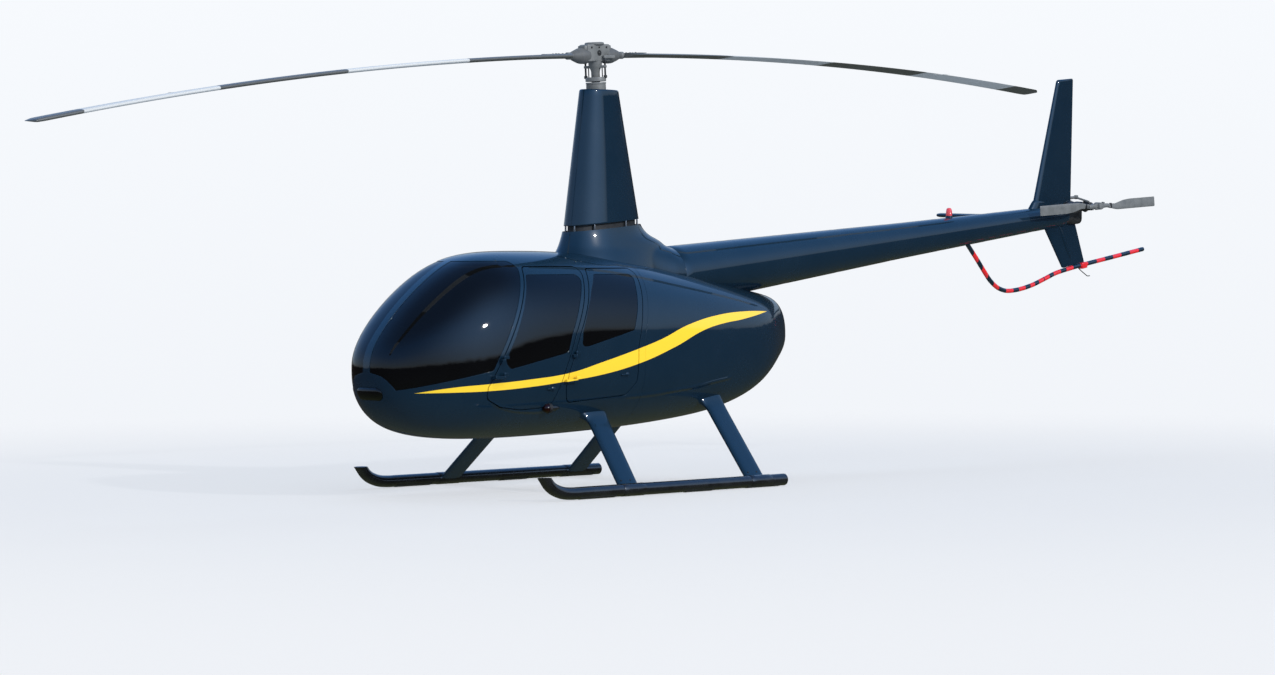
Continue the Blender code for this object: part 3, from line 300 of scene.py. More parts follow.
# %% Plain finishes
finish("hub_grey", (0.115, 0.120, 0.120), (0.165, 0.168, 0.165), (0.38, 0.58), 14.0, 0.12, 500.0)
finish("dark_steel", (0.030, 0.031, 0.033), (0.052, 0.052, 0.050), (0.32, 0.52), 20.0, 0.10, 700.0, Metallic=0.6)
finish("bright_steel", (0.42, 0.43, 0.44), (0.30, 0.30, 0.30), (0.22, 0.38), 30.0, 0.06, 900.0, Metallic=1.0)
finish("skid_black", (0.0045, 0.0050, 0.0065), (0.0100, 0.0110, 0.0130), (0.16, 0.32), 9.0, 0.03, 200.0,
       Coat_Weight=0.8, Coat_Roughness=0.06)
finish("guard_red", (0.760, 0.012, 0.018), (0.640, 0.014, 0.018), (0.25, 0.40), 12.0, 0.03, Coat_Weight=0.6,
       Coat_Roughness=0.08)
finish("boot_grey", (0.075, 0.078, 0.080), (0.100, 0.102, 0.102), (0.50, 0.68), 18.0, 0.15, 420.0)
finish("rubber", (0.006, 0.006, 0.006), (0.012, 0.012, 0.012), (0.55, 0.75), 20.0, 0.10, 500.0)
finish("lining", (0.085, 0.088, 0.092), (0.105, 0.107, 0.110), (0.70, 0.85), 6.0, 0.25, 260.0, 0.6)
finish("carpet", (0.022, 0.023, 0.026), (0.040, 0.041, 0.045), (0.90, 1.00), 60.0, 0.90, 900.0, 1.2,
       Sheen_Weight=0.3)
finish("leather", (0.030, 0.030, 0.033), (0.048, 0.047, 0.050), (0.38, 0.58), 7.0, 0.35, 330.0, 1.0)
finish("panel_black", (0.012, 0.012, 0.013), (0.020, 0.020, 0.021), (0.50, 0.65), 16.0, 0.20, 800.0, 0.5)
finish("engine_cast", (0.16, 0.16, 0.155), (0.10, 0.10, 0.10), (0.45, 0.65), 9.0, 0.50, 240.0, 0.8, Metallic=0.6)
finish("webbing", (0.018, 0.018, 0.020), (0.028, 0.028, 0.030), (0.75, 0.90), 200.0, 0.60, 700.0, 0.6)
finish("reflector", (0.80, 0.80, 0.80), (0.60, 0.60, 0.60), (0.08, 0.18), 40.0, 0.02, Metallic=1.0)
finish("dial_white", (0.70, 0.70, 0.68), (0.62, 0.62, 0.60), (0.4, 0.5), 4.0)
print("finishes so far", len(FINISHES))

# %% [markdown]
# ## Tinted glass and lamp lenses
# The panes are dark tinted acrylic. From outside almost only the reflection
# shows, and a little of the cabin comes through. A high alpha gives that
# without the noise of real refraction. The flashing lamp's lens has prism
# lines, which a wave texture raises under a clear coat.

# %% Glass
finish("tinted_glass", (0.0016, 0.0019, 0.0024), (0.0024, 0.0028, 0.0034), (0.015, 0.040), 1.5, Alpha=0.93,
       Coat_Weight=0.0, IOR=1.50)
finish("lamp_glass", (0.0025, 0.0028, 0.0030), (0.0040, 0.0042, 0.0045), (0.02, 0.05), 8.0, Alpha=0.96, IOR=1.5)
finish("deep_red_lens", (0.012, 0.0015, 0.0015), (0.007, 0.001, 0.001), (0.03, 0.06), 25.0)
finish("deep_green_lens", (0.0015, 0.011, 0.004), (0.001, 0.006, 0.003), (0.03, 0.06), 25.0)
lens = finish("red_lens", (0.80, 0.095, 0.095), (0.62, 0.045, 0.050), (0.06, 0.12), 25.0, Coat_Weight=1.0,
              Coat_Roughness=0.02)
prisms = lens.add("TexWave", bands_direction="Z", Vector=lens.place(), Scale=60.0)
raised = lens.add("Bump", Strength=0.3, Distance=0.002, Height=prisms.outputs["Fac"])
lens.feed(lens.shader.inputs["Normal"], raised.outputs["Normal"])
print("finishes", len(FINISHES))

# %% [markdown]
# ## Making pieces
# Each piece is built of sheets: an array of points, the faces between them,
# and for a few also the points' own normals. One helper turns sheets into a
# mesh at its real place, gives it its finishes, and hangs it on the CAD body
# that it moves with. Most pieces have a twin on the other side.

# %% Piece helpers
MIRROR = np.array([1.0, -1.0, 1.0])


def outwards(points, faces):
    """A closed sheet with its faces pointing out: the wedges under them then add up to a positive volume."""
    wedges = 0.0
    for block in faces:
        for k in range(1, block.shape[1] - 1):
            a, b, c = (points[block[:, j]] for j in (0, k, k + 1))
            wedges += np.sum(a * np.cross(b, c))
    return points, faces if wedges >= 0 else [block[:, ::-1] for block in faces]


def mirrored(sheet):
    """The sheet on the starboard side."""
    points, faces, *normals = sheet
    return (points * MIRROR, [block[:, ::-1] for block in faces], *[rows * MIRROR for rows in normals])


def moved(sheet, matrix):
    """The sheet after a 4 by 4 matrix."""
    grid = np.array(matrix)
    return sheet[0] @ grid[:3, :3].T + grid[:3, 3], sheet[1]


def stacked(sheets):
    """The points, faces and normals of all sheets. A point with no normal of its own has nan."""
    faces, shift = [], 0
    for sheet in sheets:
        for block in sheet[1]:
            faces += (block + shift).tolist()
        shift += len(sheet[0])
    normals = [sheet[2] if len(sheet) > 2 else np.full(sheet[0].shape, np.nan) for sheet in sheets]
    return np.vstack([sheet[0] for sheet in sheets]), faces, np.vstack(normals)


def read_values(items, name, width, kind=np.float32):
    """A value or vector of every item, as rows."""
    values = np.empty(len(items) * width, dtype=kind)
    items.foreach_get(name, values)
    return values.reshape(-1, width)


def make_piece(name, parts, node=None, body="airframe", slot="navy_paint", sharp=38.0):
    """One mesh object from the sheets of each finish. It stands for the CAD node and rides on the body."""
    points, faces, normals = stacked([sheet for sheets in parts.values() for sheet in sheets])
    counts = [sum(len(block) for sheet in sheets for block in sheet[1]) for sheets in parts.values()]
    mesh = bpy.data.meshes.new(name)
    mesh.from_pydata((points + MAST).tolist(), [], faces)
    mesh.polygons.foreach_set("material_index", np.repeat(np.arange(len(parts), dtype=np.int32), counts))
    mesh.shade_smooth()
    mesh.set_sharp_from_angle(angle=math.radians(sharp))
    if not np.isnan(normals).all():
        corners = read_values(mesh.corner_normals, "vector", 3)
        own = normals[read_values(mesh.loops, "vertex_index", 1, np.int32)[:, 0]]
        mesh.normals_split_custom_set(np.where(np.isnan(own), corners, own).tolist())
    for finish_name in parts:
        mesh.materials.append(FINISHES[finish_name])
    obj = bpy.data.objects.new(name, mesh)
    scene.collection.objects.link(obj)
    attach(obj, body)
    if node:
        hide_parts(node)
    print(f"{name}: {len(mesh.polygons)} faces")
    return obj


def make_pair(name, parts, node, body="airframe", **settings):
    """A port piece and its mirror image to starboard. In the names, SIDE stands for either word."""
    starboard_parts = {key: [mirrored(sheet) for sheet in sheets] for key, sheets in parts.items()}
    for side, shown in (("port", parts), ("starboard", starboard_parts)):
        own_names = [text.replace("SIDE", side) for text in (name, node, body)]
        make_piece(own_names[0], shown, *own_names[1:], **settings)


# %% [markdown]
# ## Shapes from grids
# A grid of points with one ring after another is the start of most shapes here.
# Rings along a path make a pipe, rings round an axis make a turned part, and
# an outline carried straight makes a plate. Each end is closed by a fan, and a
# small ease at each rim catches the light as a real edge does.

# %% Small formulas
PLAN_VIEW = np.eye(3)
AHEAD, ACROSS, UPRIGHT = PLAN_VIEW
SIDE_VIEW = np.array([AHEAD, UPRIGHT, ACROSS])
ORIGIN = np.zeros(3)


def xyz(x, y, z):
    """Points from numbers or arrays that stretch to one shape."""
    return np.stack(np.broadcast_arrays(x, y, z), axis=-1).astype(float)


def signed(value, power):
    """The size of a value raised to a power, with its sign kept."""
    return np.sign(value) * np.abs(value) ** power


def turn_angles(count, shift=0.0):
    """Angles once round, from shift steps past zero."""
    return 2 * np.pi * (np.arange(count) + shift) / count


def unit(v):
    """Vectors of length one."""
    v = np.asarray(v, dtype=float)
    return v / np.linalg.norm(v, axis=-1, keepdims=True)


def square_to(axis):
    """Two directions square to each axis and to each other."""
    u = unit(np.cross(axis, np.where(np.abs(axis[..., :1]) < 0.8, AHEAD, ACROSS)))
    return u, np.cross(axis, u)


def ring_round(u, v, sides):
    """Points u cos t + v sin t once round, for one pair of directions or rows of them."""
    t = turn_angles(sides)[:, None]
    return np.cos(t) * np.asarray(u)[..., None, :] + np.sin(t) * np.asarray(v)[..., None, :]


def spline(rows, t):
    """Catmull-Rom curve through rows: a cubic between two rows that heads for their neighbours."""
    rows = np.array(rows, dtype=float)
    padded = np.vstack([2 * rows[0] - rows[1], rows, 2 * rows[-1] - rows[-2]])
    index = np.clip(t.astype(int), 0, len(rows) - 2)
    t = (t - index)[:, None]
    a, b, c, d = (padded[index + k] for k in range(4))
    return 0.5 * (2 * b + (c - a) * t + (2 * a - 5 * b + 4 * c - d) * t ** 2 + (3 * b - a - 3 * c + d) * t ** 3)


def finer_rows(rows, per_step=6):
    """A spline through the rows of a table, with more rows."""
    return spline(rows, np.linspace(0, len(rows) - 1, per_step * (len(rows) - 1) + 1))


def evenly(points, count):
    """A line of points made anew with count points at even distances."""
    run = np.concatenate([[0.0], np.cumsum(np.linalg.norm(np.diff(points, axis=0), axis=1))])
    even = np.linspace(0, run[-1], count)
    return np.stack([np.interp(even, run, column) for column in points.T], axis=1)


def smooth_path(points, count):
    """A spline through points, as count points at even distances."""
    return evenly(spline(points, np.linspace(0, len(points) - 1, 40 * len(points))), count)


# %% Grid shapes
def grid_faces(rows, columns):
    """Squares between the neighbours of a grid whose columns close round."""
    i, j = np.meshgrid(np.arange(rows - 1), np.arange(columns), indexing="ij")
    k = (j + 1) % columns
    return np.stack([i * columns + j, i * columns + k, (i + 1) * columns + k, (i + 1) * columns + j],
                    axis=-1).reshape(-1, 4)


def skinned(rings):
    """A closed sheet over rings of shape (rows, columns, 3), each end a fan to its middle."""
    rows, columns = rings.shape[:2]
    points = np.vstack([rings.reshape(-1, 3), rings[0].mean(0)[None], rings[-1].mean(0)[None]])
    first, last, tail = rows * columns, rows * columns + 1, (rows - 1) * columns
    j = np.arange(columns)
    k = (j + 1) % columns
    fans = [np.stack([0 * j + first, k, j], -1), np.stack([0 * j + last, tail + j, tail + k], -1)]
    return outwards(points, [grid_faces(rows, columns), *fans])


def pipe(path, radius, sides=20, ease=None, hint=ACROSS):
    """Rings round a path: point = path + radius (cos t u + sin t v), where u and v are square to the path."""
    path = np.asarray(path, dtype=float)
    radius = np.broadcast_to(np.asarray(radius, dtype=float), len(path)).copy()
    if ease is None:
        ease = 0.25 * float(radius.min())
    along = unit(np.gradient(path, axis=0))
    if ease > 0:
        rim = np.array([1.0, 0.3, 0.0])
        start = path[0] + np.outer(rim[::-1], along[0] * ease)
        end = path[-1] - np.outer(rim, along[-1] * ease)
        path = np.vstack([start, path[1:-1], end])
        radius = np.concatenate([radius[0] - ease * rim, radius[1:-1], radius[-1] - ease * rim[::-1]])
        along = np.vstack([np.repeat(along[:1], 3, axis=0), along[1:-1], np.repeat(along[-1:], 3, axis=0)])
    u = unit(np.cross(np.broadcast_to(hint, along.shape), along))
    return skinned(path[:, None] + radius[:, None, None] * ring_round(u, np.cross(along, u), sides))


def rod(start, end, radius, end_radius=None, sides=20, ease=None):
    """A straight pipe, or a cone, with eased rims."""
    start, end = np.array(start, dtype=float), np.array(end, dtype=float)
    hint = ACROSS if abs(unit(end - start)[1]) < 0.8 else AHEAD
    share = np.linspace(0, 1, 4)
    last = radius if end_radius is None else end_radius
    return pipe(start + share[:, None] * (end - start), radius + share * (last - radius), sides, ease, hint)


def turned(profile, origin=ORIGIN, axis=UPRIGHT, sides=32):
    """A turned part: the profile's rows (radius, height along the axis) swept once round the axis."""
    reach, height = np.array(profile, dtype=float).T[:, :, None, None]
    axis = unit(axis)
    return skinned(np.array(origin) + height * axis + reach * ring_round(*square_to(axis), sides))


def block(centre, half, axes=PLAN_VIEW, square=0.22, rows=11, columns=24):
    """A box with round edges: x = a c(p) c(q), y = b c(p) s(q), z = h s(p), with c and s raised to a power."""
    p = np.linspace(-np.pi / 2, np.pi / 2, rows + 2)[1:-1, None]
    q = turn_angles(columns, 0.5)
    girth = signed(np.cos(p), square)
    grid = xyz(girth * signed(np.cos(q), square), girth * signed(np.sin(q), square), signed(np.sin(p), square))
    return skinned((grid * half) @ np.array(axes, dtype=float) + np.array(centre))


# %% Outlines and plates
def loop_area(ring):
    """Area inside a closed outline, below zero where it runs clockwise."""
    after = np.roll(ring, -1, axis=0)
    return np.sum(ring[:, 0] * after[:, 1] - after[:, 0] * ring[:, 1]) / 2


def inset_ring(ring, distance):
    """Each side of a closed outline moved inwards by a distance."""
    edge = unit(np.roll(ring, -1, axis=0) - ring)
    inward = np.stack([-edge[:, 1], edge[:, 0]], axis=1) * np.sign(loop_area(ring))
    before = np.roll(inward, 1, axis=0)
    shift = (inward + before) / np.maximum(1 + np.sum(inward * before, axis=1), 0.3)[:, None]
    return ring + distance * shift


def plate(outline, low, high, axes, ease=0.002):
    """A flat outline carried from low to high along the third axis, with eased edges."""
    outline = np.array(outline, dtype=float)
    rows = ((ease, low), (0.3 * ease, low + 0.3 * ease), (0.0, low + ease), (0.0, high - ease),
            (0.3 * ease, high - 0.3 * ease), (ease, high))
    rings = [np.insert(inset_ring(outline, distance), 2, height, axis=1) for distance, height in rows]
    return skinned(np.array(rings) @ axes)


def rounded(outline, steps=8):
    """Each corner (x, z, radius) of an outline replaced by an arc of its radius."""
    rows = np.array(outline, dtype=float)
    points = []
    for k, (x, z, radius) in enumerate(rows):
        here = np.array([x, z])
        before = rows[k - 1, :2] - here
        after = rows[(k + 1) % len(rows), :2] - here
        half = math.acos(np.clip(np.dot(unit(before), unit(after)), -1, 1)) / 2
        if radius == 0 or half > math.radians(87):
            points.append(here[None])
            continue
        span = min(radius / math.tan(half), 0.45 * np.linalg.norm(before), 0.45 * np.linalg.norm(after))
        radius = span * math.tan(half)
        centre = here + unit(unit(before) + unit(after)) * radius / math.sin(half)
        first = here + unit(before) * span - centre
        last = here + unit(after) * span - centre
        sweep = math.atan2(first[0] * last[1] - first[1] * last[0], float(np.dot(first, last)))
        t = np.linspace(0, sweep, steps + 1)[:, None]
        points.append(centre + np.hstack([first[0] * np.cos(t) - first[1] * np.sin(t),
                                          first[0] * np.sin(t) + first[1] * np.cos(t)]))
    return np.vstack(points)


def divided(ring, longest):
    """A closed outline with extra points, so that no side is longer than longest."""
    parts = []
    for a, b in zip(ring, np.roll(ring, -1, axis=0)):
        count = max(1, math.ceil(np.linalg.norm(b - a) / longest))
        parts.append(a + (np.arange(count) / count)[:, None] * (b - a))
    return np.vstack(parts)


print("shape helpers ready")

# %% [markdown]
# ## The body's surface
# The whole body from nose to tail is one surface. Its cross sections are
# rounded squares, |y / half|^n + |rise|^n = 1, and a smooth spline carries
# their width and height along the machine. Because the spline bends evenly, a
# reflection runs over it without a kink. The same formula gives the exact
# normal, which the panels keep.

# %% Body surface
# Rows of station, half width, and the heights of belly, waist and roof
STATIONS = np.array([
    (2.223, 0.000, 0.930, 0.930, 0.930), (2.198, 0.172, 0.745, 0.930, 1.060),
    (2.108, 0.310, 0.602, 0.930, 1.198), (1.940, 0.436, 0.492, 0.940, 1.377),
    (1.675, 0.554, 0.430, 0.950, 1.585), (1.340, 0.620, 0.408, 0.970, 1.739),
    (0.900, 0.643, 0.407, 0.990, 1.773), (0.400, 0.640, 0.420, 1.000, 1.762),
    (-0.100, 0.620, 0.444, 1.010, 1.711), (-0.600, 0.573, 0.483, 1.020, 1.633),
    (-1.072, 0.504, 0.549, 1.040, 1.550), (-1.465, 0.404, 0.675, 1.070, 1.477),
    (-1.709, 0.285, 0.839, 1.100, 1.433), (-1.859, 0.173, 0.986, 1.120, 1.352),
    (-1.904, 0.000, 1.120, 1.120, 1.120)])
ROUND_TOP, ROUND_BELLY = 2.35, 2.5
LAST = len(STATIONS) - 1
BEYOND = 3
POLE_GAP = 0.002


def mirrored_rows(pole, rows):
    """Rows beyond a pole: the same station, and the section turned over through the pole."""
    rows = 2 * pole - rows
    rows[:, 0] = 2 * pole[0] - rows[:, 0]
    return rows


EXTENDED = np.vstack([mirrored_rows(STATIONS[0], STATIONS[BEYOND:0:-1]), STATIONS,
                      mirrored_rows(STATIONS[LAST], STATIONS[LAST - 1:LAST - 1 - BEYOND:-1])])
SYSTEM = np.eye(len(EXTENDED)) * 4 + np.eye(len(EXTENDED), k=1) + np.eye(len(EXTENDED), k=-1)
SYSTEM[0], SYSTEM[-1] = 0, 0
SYSTEM[0, 0] = SYSTEM[-1, -1] = 1
BENDING = np.zeros_like(EXTENDED)
BENDING[1:-1] = 6 * (EXTENDED[2:] - 2 * EXTENDED[1:-1] + EXTENDED[:-2])
BENDING = np.linalg.solve(SYSTEM, BENDING)


def body_rows(step):
    """Spline rows (station, half width, belly, waist, roof) at a step along the body, and their slopes."""
    step = np.clip(np.asarray(step, dtype=float), 0, LAST)
    index = np.clip(step.astype(int), 0, LAST - 1) + BEYOND
    t = (step + BEYOND - index)[..., None]
    a, b = EXTENDED[index], EXTENDED[index + 1]
    ma, mb = BENDING[index], BENDING[index + 1]
    rows = a * (1 - t) + b * t + ((1 - t) ** 3 - (1 - t)) * ma / 6 + (t ** 3 - t) * mb / 6
    slopes = b - a - (3 * (1 - t) ** 2 - 1) * ma / 6 + (3 * t ** 2 - 1) * mb / 6
    return rows, slopes


def skin(step, angle):
    """Points of the body's surface and their outward normals, from the slope of its formula."""
    rows, slopes = body_rows(np.clip(step, POLE_GAP, LAST - POLE_GAP))
    x, half, belly, waist, roof = np.moveaxis(rows, -1, 0)
    dx, dhalf, dbelly, dwaist, droof = np.moveaxis(slopes, -1, 0)
    top = np.sin(angle) >= 0
    power = np.where(top, ROUND_TOP, ROUND_BELLY)
    rise = np.where(top, roof - waist, waist - belly)
    drise = np.where(top, droof - dwaist, dwaist - dbelly)
    across, height = signed(np.cos(angle), 2 / power), signed(np.sin(angle), 2 / power)
    pull_y, pull_z = signed(across, power - 1), signed(height, power - 1)
    slope_s = -pull_y * across * dhalf / half + pull_z * (-dwaist - height * drise) / rise
    normals = xyz(-slope_s, -dx * pull_y / half, -dx * pull_z / rise)
    return xyz(x, half * across, waist + rise * height), unit(normals)


# %% Measures along the body
def mean_radius(rows):
    """Mean of half the width and half the height of sections."""
    return (rows[:, 1] + (rows[:, 4] - rows[:, 2]) / 2) / 2


def running_sum(rate):
    """Area under a rate over the step table, from its start to each step."""
    return np.concatenate([[0], np.cumsum((rate[1:] + rate[:-1]) / 2 * np.diff(STEP_TABLE))])


STEP_TABLE = np.linspace(POLE_GAP, LAST - POLE_GAP, 6001)
ROW_TABLE, SLOPE_TABLE = body_rows(STEP_TABLE)
RADIUS_TABLE = mean_radius(ROW_TABLE)
PACE = np.hypot(SLOPE_TABLE[:, 0], mean_radius(SLOPE_TABLE))
LENGTH_TABLE = running_sum(PACE)
STRETCH_TABLE = running_sum(PACE / RADIUS_TABLE)
STRETCH_TABLE -= np.interp(6.0, STEP_TABLE, STRETCH_TABLE)
print("body length", round(float(LENGTH_TABLE[-1]), 3), "m along the skin")


def step_at(x):
    """Step along the body at a station."""
    return np.interp(-np.asarray(x), -ROW_TABLE[:, 0], STEP_TABLE)


def on_skin(points):
    """Step and angle of side-view points (station, height) on the port side of the skin."""
    x, z = np.asarray(points).T
    step = step_at(x)
    _, _, belly, waist, roof = body_rows(step)[0].T
    upper = z >= waist
    rise = np.where(upper, roof - waist, waist - belly)
    power = np.where(upper, ROUND_TOP, ROUND_BELLY)
    sine = signed(np.clip((z - waist) / rise, -1, 1), power / 2)
    return step, np.arcsin(np.clip(sine, -1, 1))


def half_width(x, z):
    """Half width of the body at a station and height."""
    return float(skin(*on_skin([[x, z]]))[0][0, 1])


# %% [markdown]
# ## Cutting panels out of the surface
# Doors, windows and the skin round them must share one curved surface with thin
# even gaps. A Boolean cut on a smooth mesh leaves ragged shading at the cut. So
# each panel is triangulated inside its own outline, on a flat map of the body
# where angles keep their shape, and then laid back on the surface. Every edge
# is rounded by a narrow rim, and the back of the panel is a wall's thickness
# deeper.

# %% Flat map
POLE_WAY = {"nose": 1, "tail": -1}


def spread(step, angle, pole):
    """The flat map: rings round the nose or the tail, or straight rows where a panel touches neither."""
    stretch = np.interp(step, STEP_TABLE, STRETCH_TABLE)
    if pole is None:
        return np.stack([stretch, angle], axis=-1)
    radius = np.exp(POLE_WAY[pole] * stretch)
    return np.stack([radius * np.cos(angle), radius * np.sin(angle)], axis=-1)


def fold_back(flat, pole):
    """Step and angle of points on the flat map."""
    if pole is None:
        return np.interp(flat[:, 0], STRETCH_TABLE, STEP_TABLE), flat[:, 1]
    stretch = POLE_WAY[pole] * np.log(np.hypot(flat[:, 0], flat[:, 1]))
    return np.interp(stretch, STRETCH_TABLE, STEP_TABLE), np.arctan2(flat[:, 1], flat[:, 0])


def loops_test(points, loops):
    """For each point: whether an odd number of loops is round it, its distance to them and the nearest corner."""
    start = np.vstack(loops)
    end = np.vstack([np.roll(loop, -1, axis=0) for loop in loops])
    side = end - start
    size = np.maximum(np.sum(side * side, axis=1), 1e-18)
    safe = np.where(np.abs(side[:, 1]) < 1e-15, 1e-15, side[:, 1])
    results = []
    for k in range(0, len(points), 1500):
        p = points[k:k + 1500, None, :]
        above = (start[:, 1] > p[..., 1]) != (end[:, 1] > p[..., 1])
        cross_x = start[:, 0] + (p[..., 1] - start[:, 1]) * (side[:, 0] / safe)
        odd = np.sum(above & (p[..., 0] < cross_x), axis=1) % 2 == 1
        share = np.clip(np.sum((p - start) * side, axis=-1) / size, 0, 1)
        gap = np.linalg.norm(p - start - share[..., None] * side, axis=-1)
        results.append((odd, np.min(gap, axis=1), np.argmin(gap, axis=1)))
    return [np.concatenate(column) for column in zip(*results)]


# %% Points and triangles of a panel
def field_points(outer_step, outer_angle, spacing, pole):
    """Steps and angles in rings a spacing apart, over the part of the skin that a loop spans."""
    low_step = STEP_TABLE[0] if pole == "nose" else outer_step.min()
    high_step = STEP_TABLE[-1] if pole == "tail" else outer_step.max()
    low_run, high_run = np.interp([low_step, high_step], STEP_TABLE, LENGTH_TABLE)
    count = max(2, int((high_run - low_run) / (0.87 * spacing)))
    runs = low_run + (np.arange(count) + 0.5) * (high_run - low_run) / count
    rings = []
    for k, step in enumerate(np.interp(runs, LENGTH_TABLE, STEP_TABLE)):
        around = max(6, round(2 * np.pi * np.interp(step, STEP_TABLE, RADIUS_TABLE) / spacing))
        angles = (np.arange(around) + 0.5 * (k % 2)) * 2 * np.pi / around
        if pole is None:
            angles = (angles - outer_angle.min()) % (2 * np.pi) + outer_angle.min()
            angles = angles[angles < outer_angle.max()]
        rings.append(np.stack([np.full(len(angles), step), angles], axis=-1))
    return np.vstack(rings).T


def filled(flat, edges, loops):
    """Delaunay triangles on the flat map that keep every edge, inside the first loop and outside the others."""
    result = delaunay_2d_cdt([Vector(p) for p in flat.tolist()], edges, [], 0, 1e-9, True)
    origin = np.array([ids[0] if ids else -1 for ids in result[3]])
    triangles = origin[np.array([list(face) for face in result[2]])]
    triangles = triangles[np.all(triangles >= 0, axis=1)]
    return triangles[loops_test(flat[triangles].mean(axis=1), loops)[0]]


def neighbours(counts):
    """For closed loops of so many points each, the number of the point after each one, and of the one before."""
    starts = np.cumsum([0, *counts[:-1]])
    after = np.concatenate([start + np.roll(np.arange(count), -1) for start, count in zip(starts, counts)])
    return after, np.argsort(after)


# %% Panels
def make_panel(loops, depth, wall, spacing, pole=None, ease=0.0015):
    """A curved panel inside the first loop and outside the others, from depth to depth + wall under the skin.

    A loop is (steps, angles, rakes). Without rakes its edge runs square to the skin. With them it runs straight
    across the machine, as a swinging door needs, and shifts by the rake. Returns a sheet of the outer face and
    rims, and a sheet of the inner face."""
    columns = [[], [], [], []]
    for number, (step, angle, rake) in enumerate(loops):
        rake = np.full(len(step), np.nan) if rake is None else rake
        flat = spread(step, angle, pole)
        way = 1 if (loop_area(flat) > 0) == (number == 0) else -1
        for column, values in zip(columns, (step, angle, rake, flat)):
            column.append(values[::way])
    edge_step, edge_angle, rake, edge_flat = (np.concatenate(column) for column in columns)
    flats = columns[3]
    edge_count = len(edge_step)
    after, before = neighbours([len(flat) for flat in flats])
    here = np.arange(edge_count)

    # Points inside, where they are not too near an edge
    field = field_points(columns[0][0], columns[1][0], spacing, pole)
    field_flat = spread(*field, pole)
    scale = np.interp(field[0], STEP_TABLE, RADIUS_TABLE)
    if pole is not None:
        scale = scale / np.hypot(*field_flat.T)
    odd, distance, nearest = loops_test(field_flat, flats)
    keep = odd & (distance * scale > 0.42 * spacing)
    distance, nearest = (distance * scale)[keep], nearest[keep]
    triangles = filled(np.vstack([edge_flat, field_flat[keep]]), np.stack([here, after], axis=-1).tolist(), flats)
    points, normals = skin(*np.hstack([(edge_step, edge_angle), field[:, keep]]))
    a, b, c = (points[triangles[:, k]] for k in range(3))
    facing = np.sum(np.cross(b - a, c - a) * normals[triangles[:, 0]], axis=1)
    triangles[facing < 0] = triangles[facing < 0][:, ::-1]
    turned_over = np.sum(facing) < 0

    # How each point moves inwards for each metre of depth
    ring, ring_normals = points[:edge_count], normals[:edge_count]
    steep = np.maximum(np.abs(ring_normals[:, 1]), 0.3)
    straight = xyz(rake / steep, -np.sign(ring[:, 1]) / steep, 0.0)
    across = np.where(np.isnan(rake)[:, None], 0.0, straight + ring_normals)
    fade = np.clip(1 - distance / 0.08, 0, 1)[:, None] ** 2
    inward = np.vstack([across, fade * across[nearest]]) - normals

    # Rims: the way into the panel from each edge point, square to the edge and to the skin
    along = unit(edge_flat[after] - edge_flat[before])
    sides = np.linalg.norm(edge_flat[after] - edge_flat, axis=1)
    size = [np.full(len(part), np.median(part)) * 0.05
            for part in np.split(sides, np.cumsum([len(flat) for flat in flats])[:-1])]
    left = np.stack([-along[:, 1], along[:, 0]], axis=-1) * np.concatenate(size)[:, None]
    into = skin(*fold_back(edge_flat + left, pole))[0] - ring
    for way in (unit(ring[after] - ring[before]), ring_normals):
        into -= way * np.sum(into * way, axis=1, keepdims=True)
    into = unit(into)

    def edge_ring(move_in, down):
        return ring + inward[:edge_count] * down + into * move_in

    front, back = (points + inward * down for down in (depth, depth + wall))
    front[:edge_count], back[:edge_count] = edge_ring(ease, depth), edge_ring(ease, depth + wall)
    near = 0.293 * ease
    middle = [edge_ring(near, depth + near), edge_ring(0.0, depth + ease),
              edge_ring(0.0, depth + wall - ease), edge_ring(near, depth + wall - near)]
    levels = [0, *(len(front) + k * edge_count for k in range(5))]
    rims = np.vstack([np.stack([upper + here, lower + here, lower + after, upper + after], axis=-1)
                      for upper, lower in zip(levels, levels[1:])])
    rim_normals = [unit(ring_normals - into), -into, -into, unit(-ring_normals - into), -ring_normals]
    outer = (np.vstack([front, *middle, back[:edge_count]]),
             [triangles, rims[:, ::-1] if turned_over else rims], np.vstack([normals, *rim_normals]))
    return outer, (back, [triangles[:, ::-1]], -normals)


def side_loop(outline, rake=None):
    """A loop on the port skin from a side-view outline."""
    ring = divided(np.asarray(outline), 0.014)
    return *on_skin(ring), None if rake is None else rake(ring)


# %% [markdown]
# ## Outlines of the doors and windows
# The outlines are side views: a station, a height and a corner radius. The
# front edge of the front door leans back with the windscreen post. A door's
# rear edge is cut along the way that it swings, so that its inner corner
# doesn't catch.

# %% Outlines
WALL = 0.025
DOOR_GAP = 0.006
FRAME_WIDTH = 0.030
SEAM = 0.0008
DOOR_TOP = 1.66


def front_edge(z, shift=0.0):
    """Station of the raked line between the windscreen and the front door."""
    return 1.585 + shift - 0.56 * (z - 0.78)


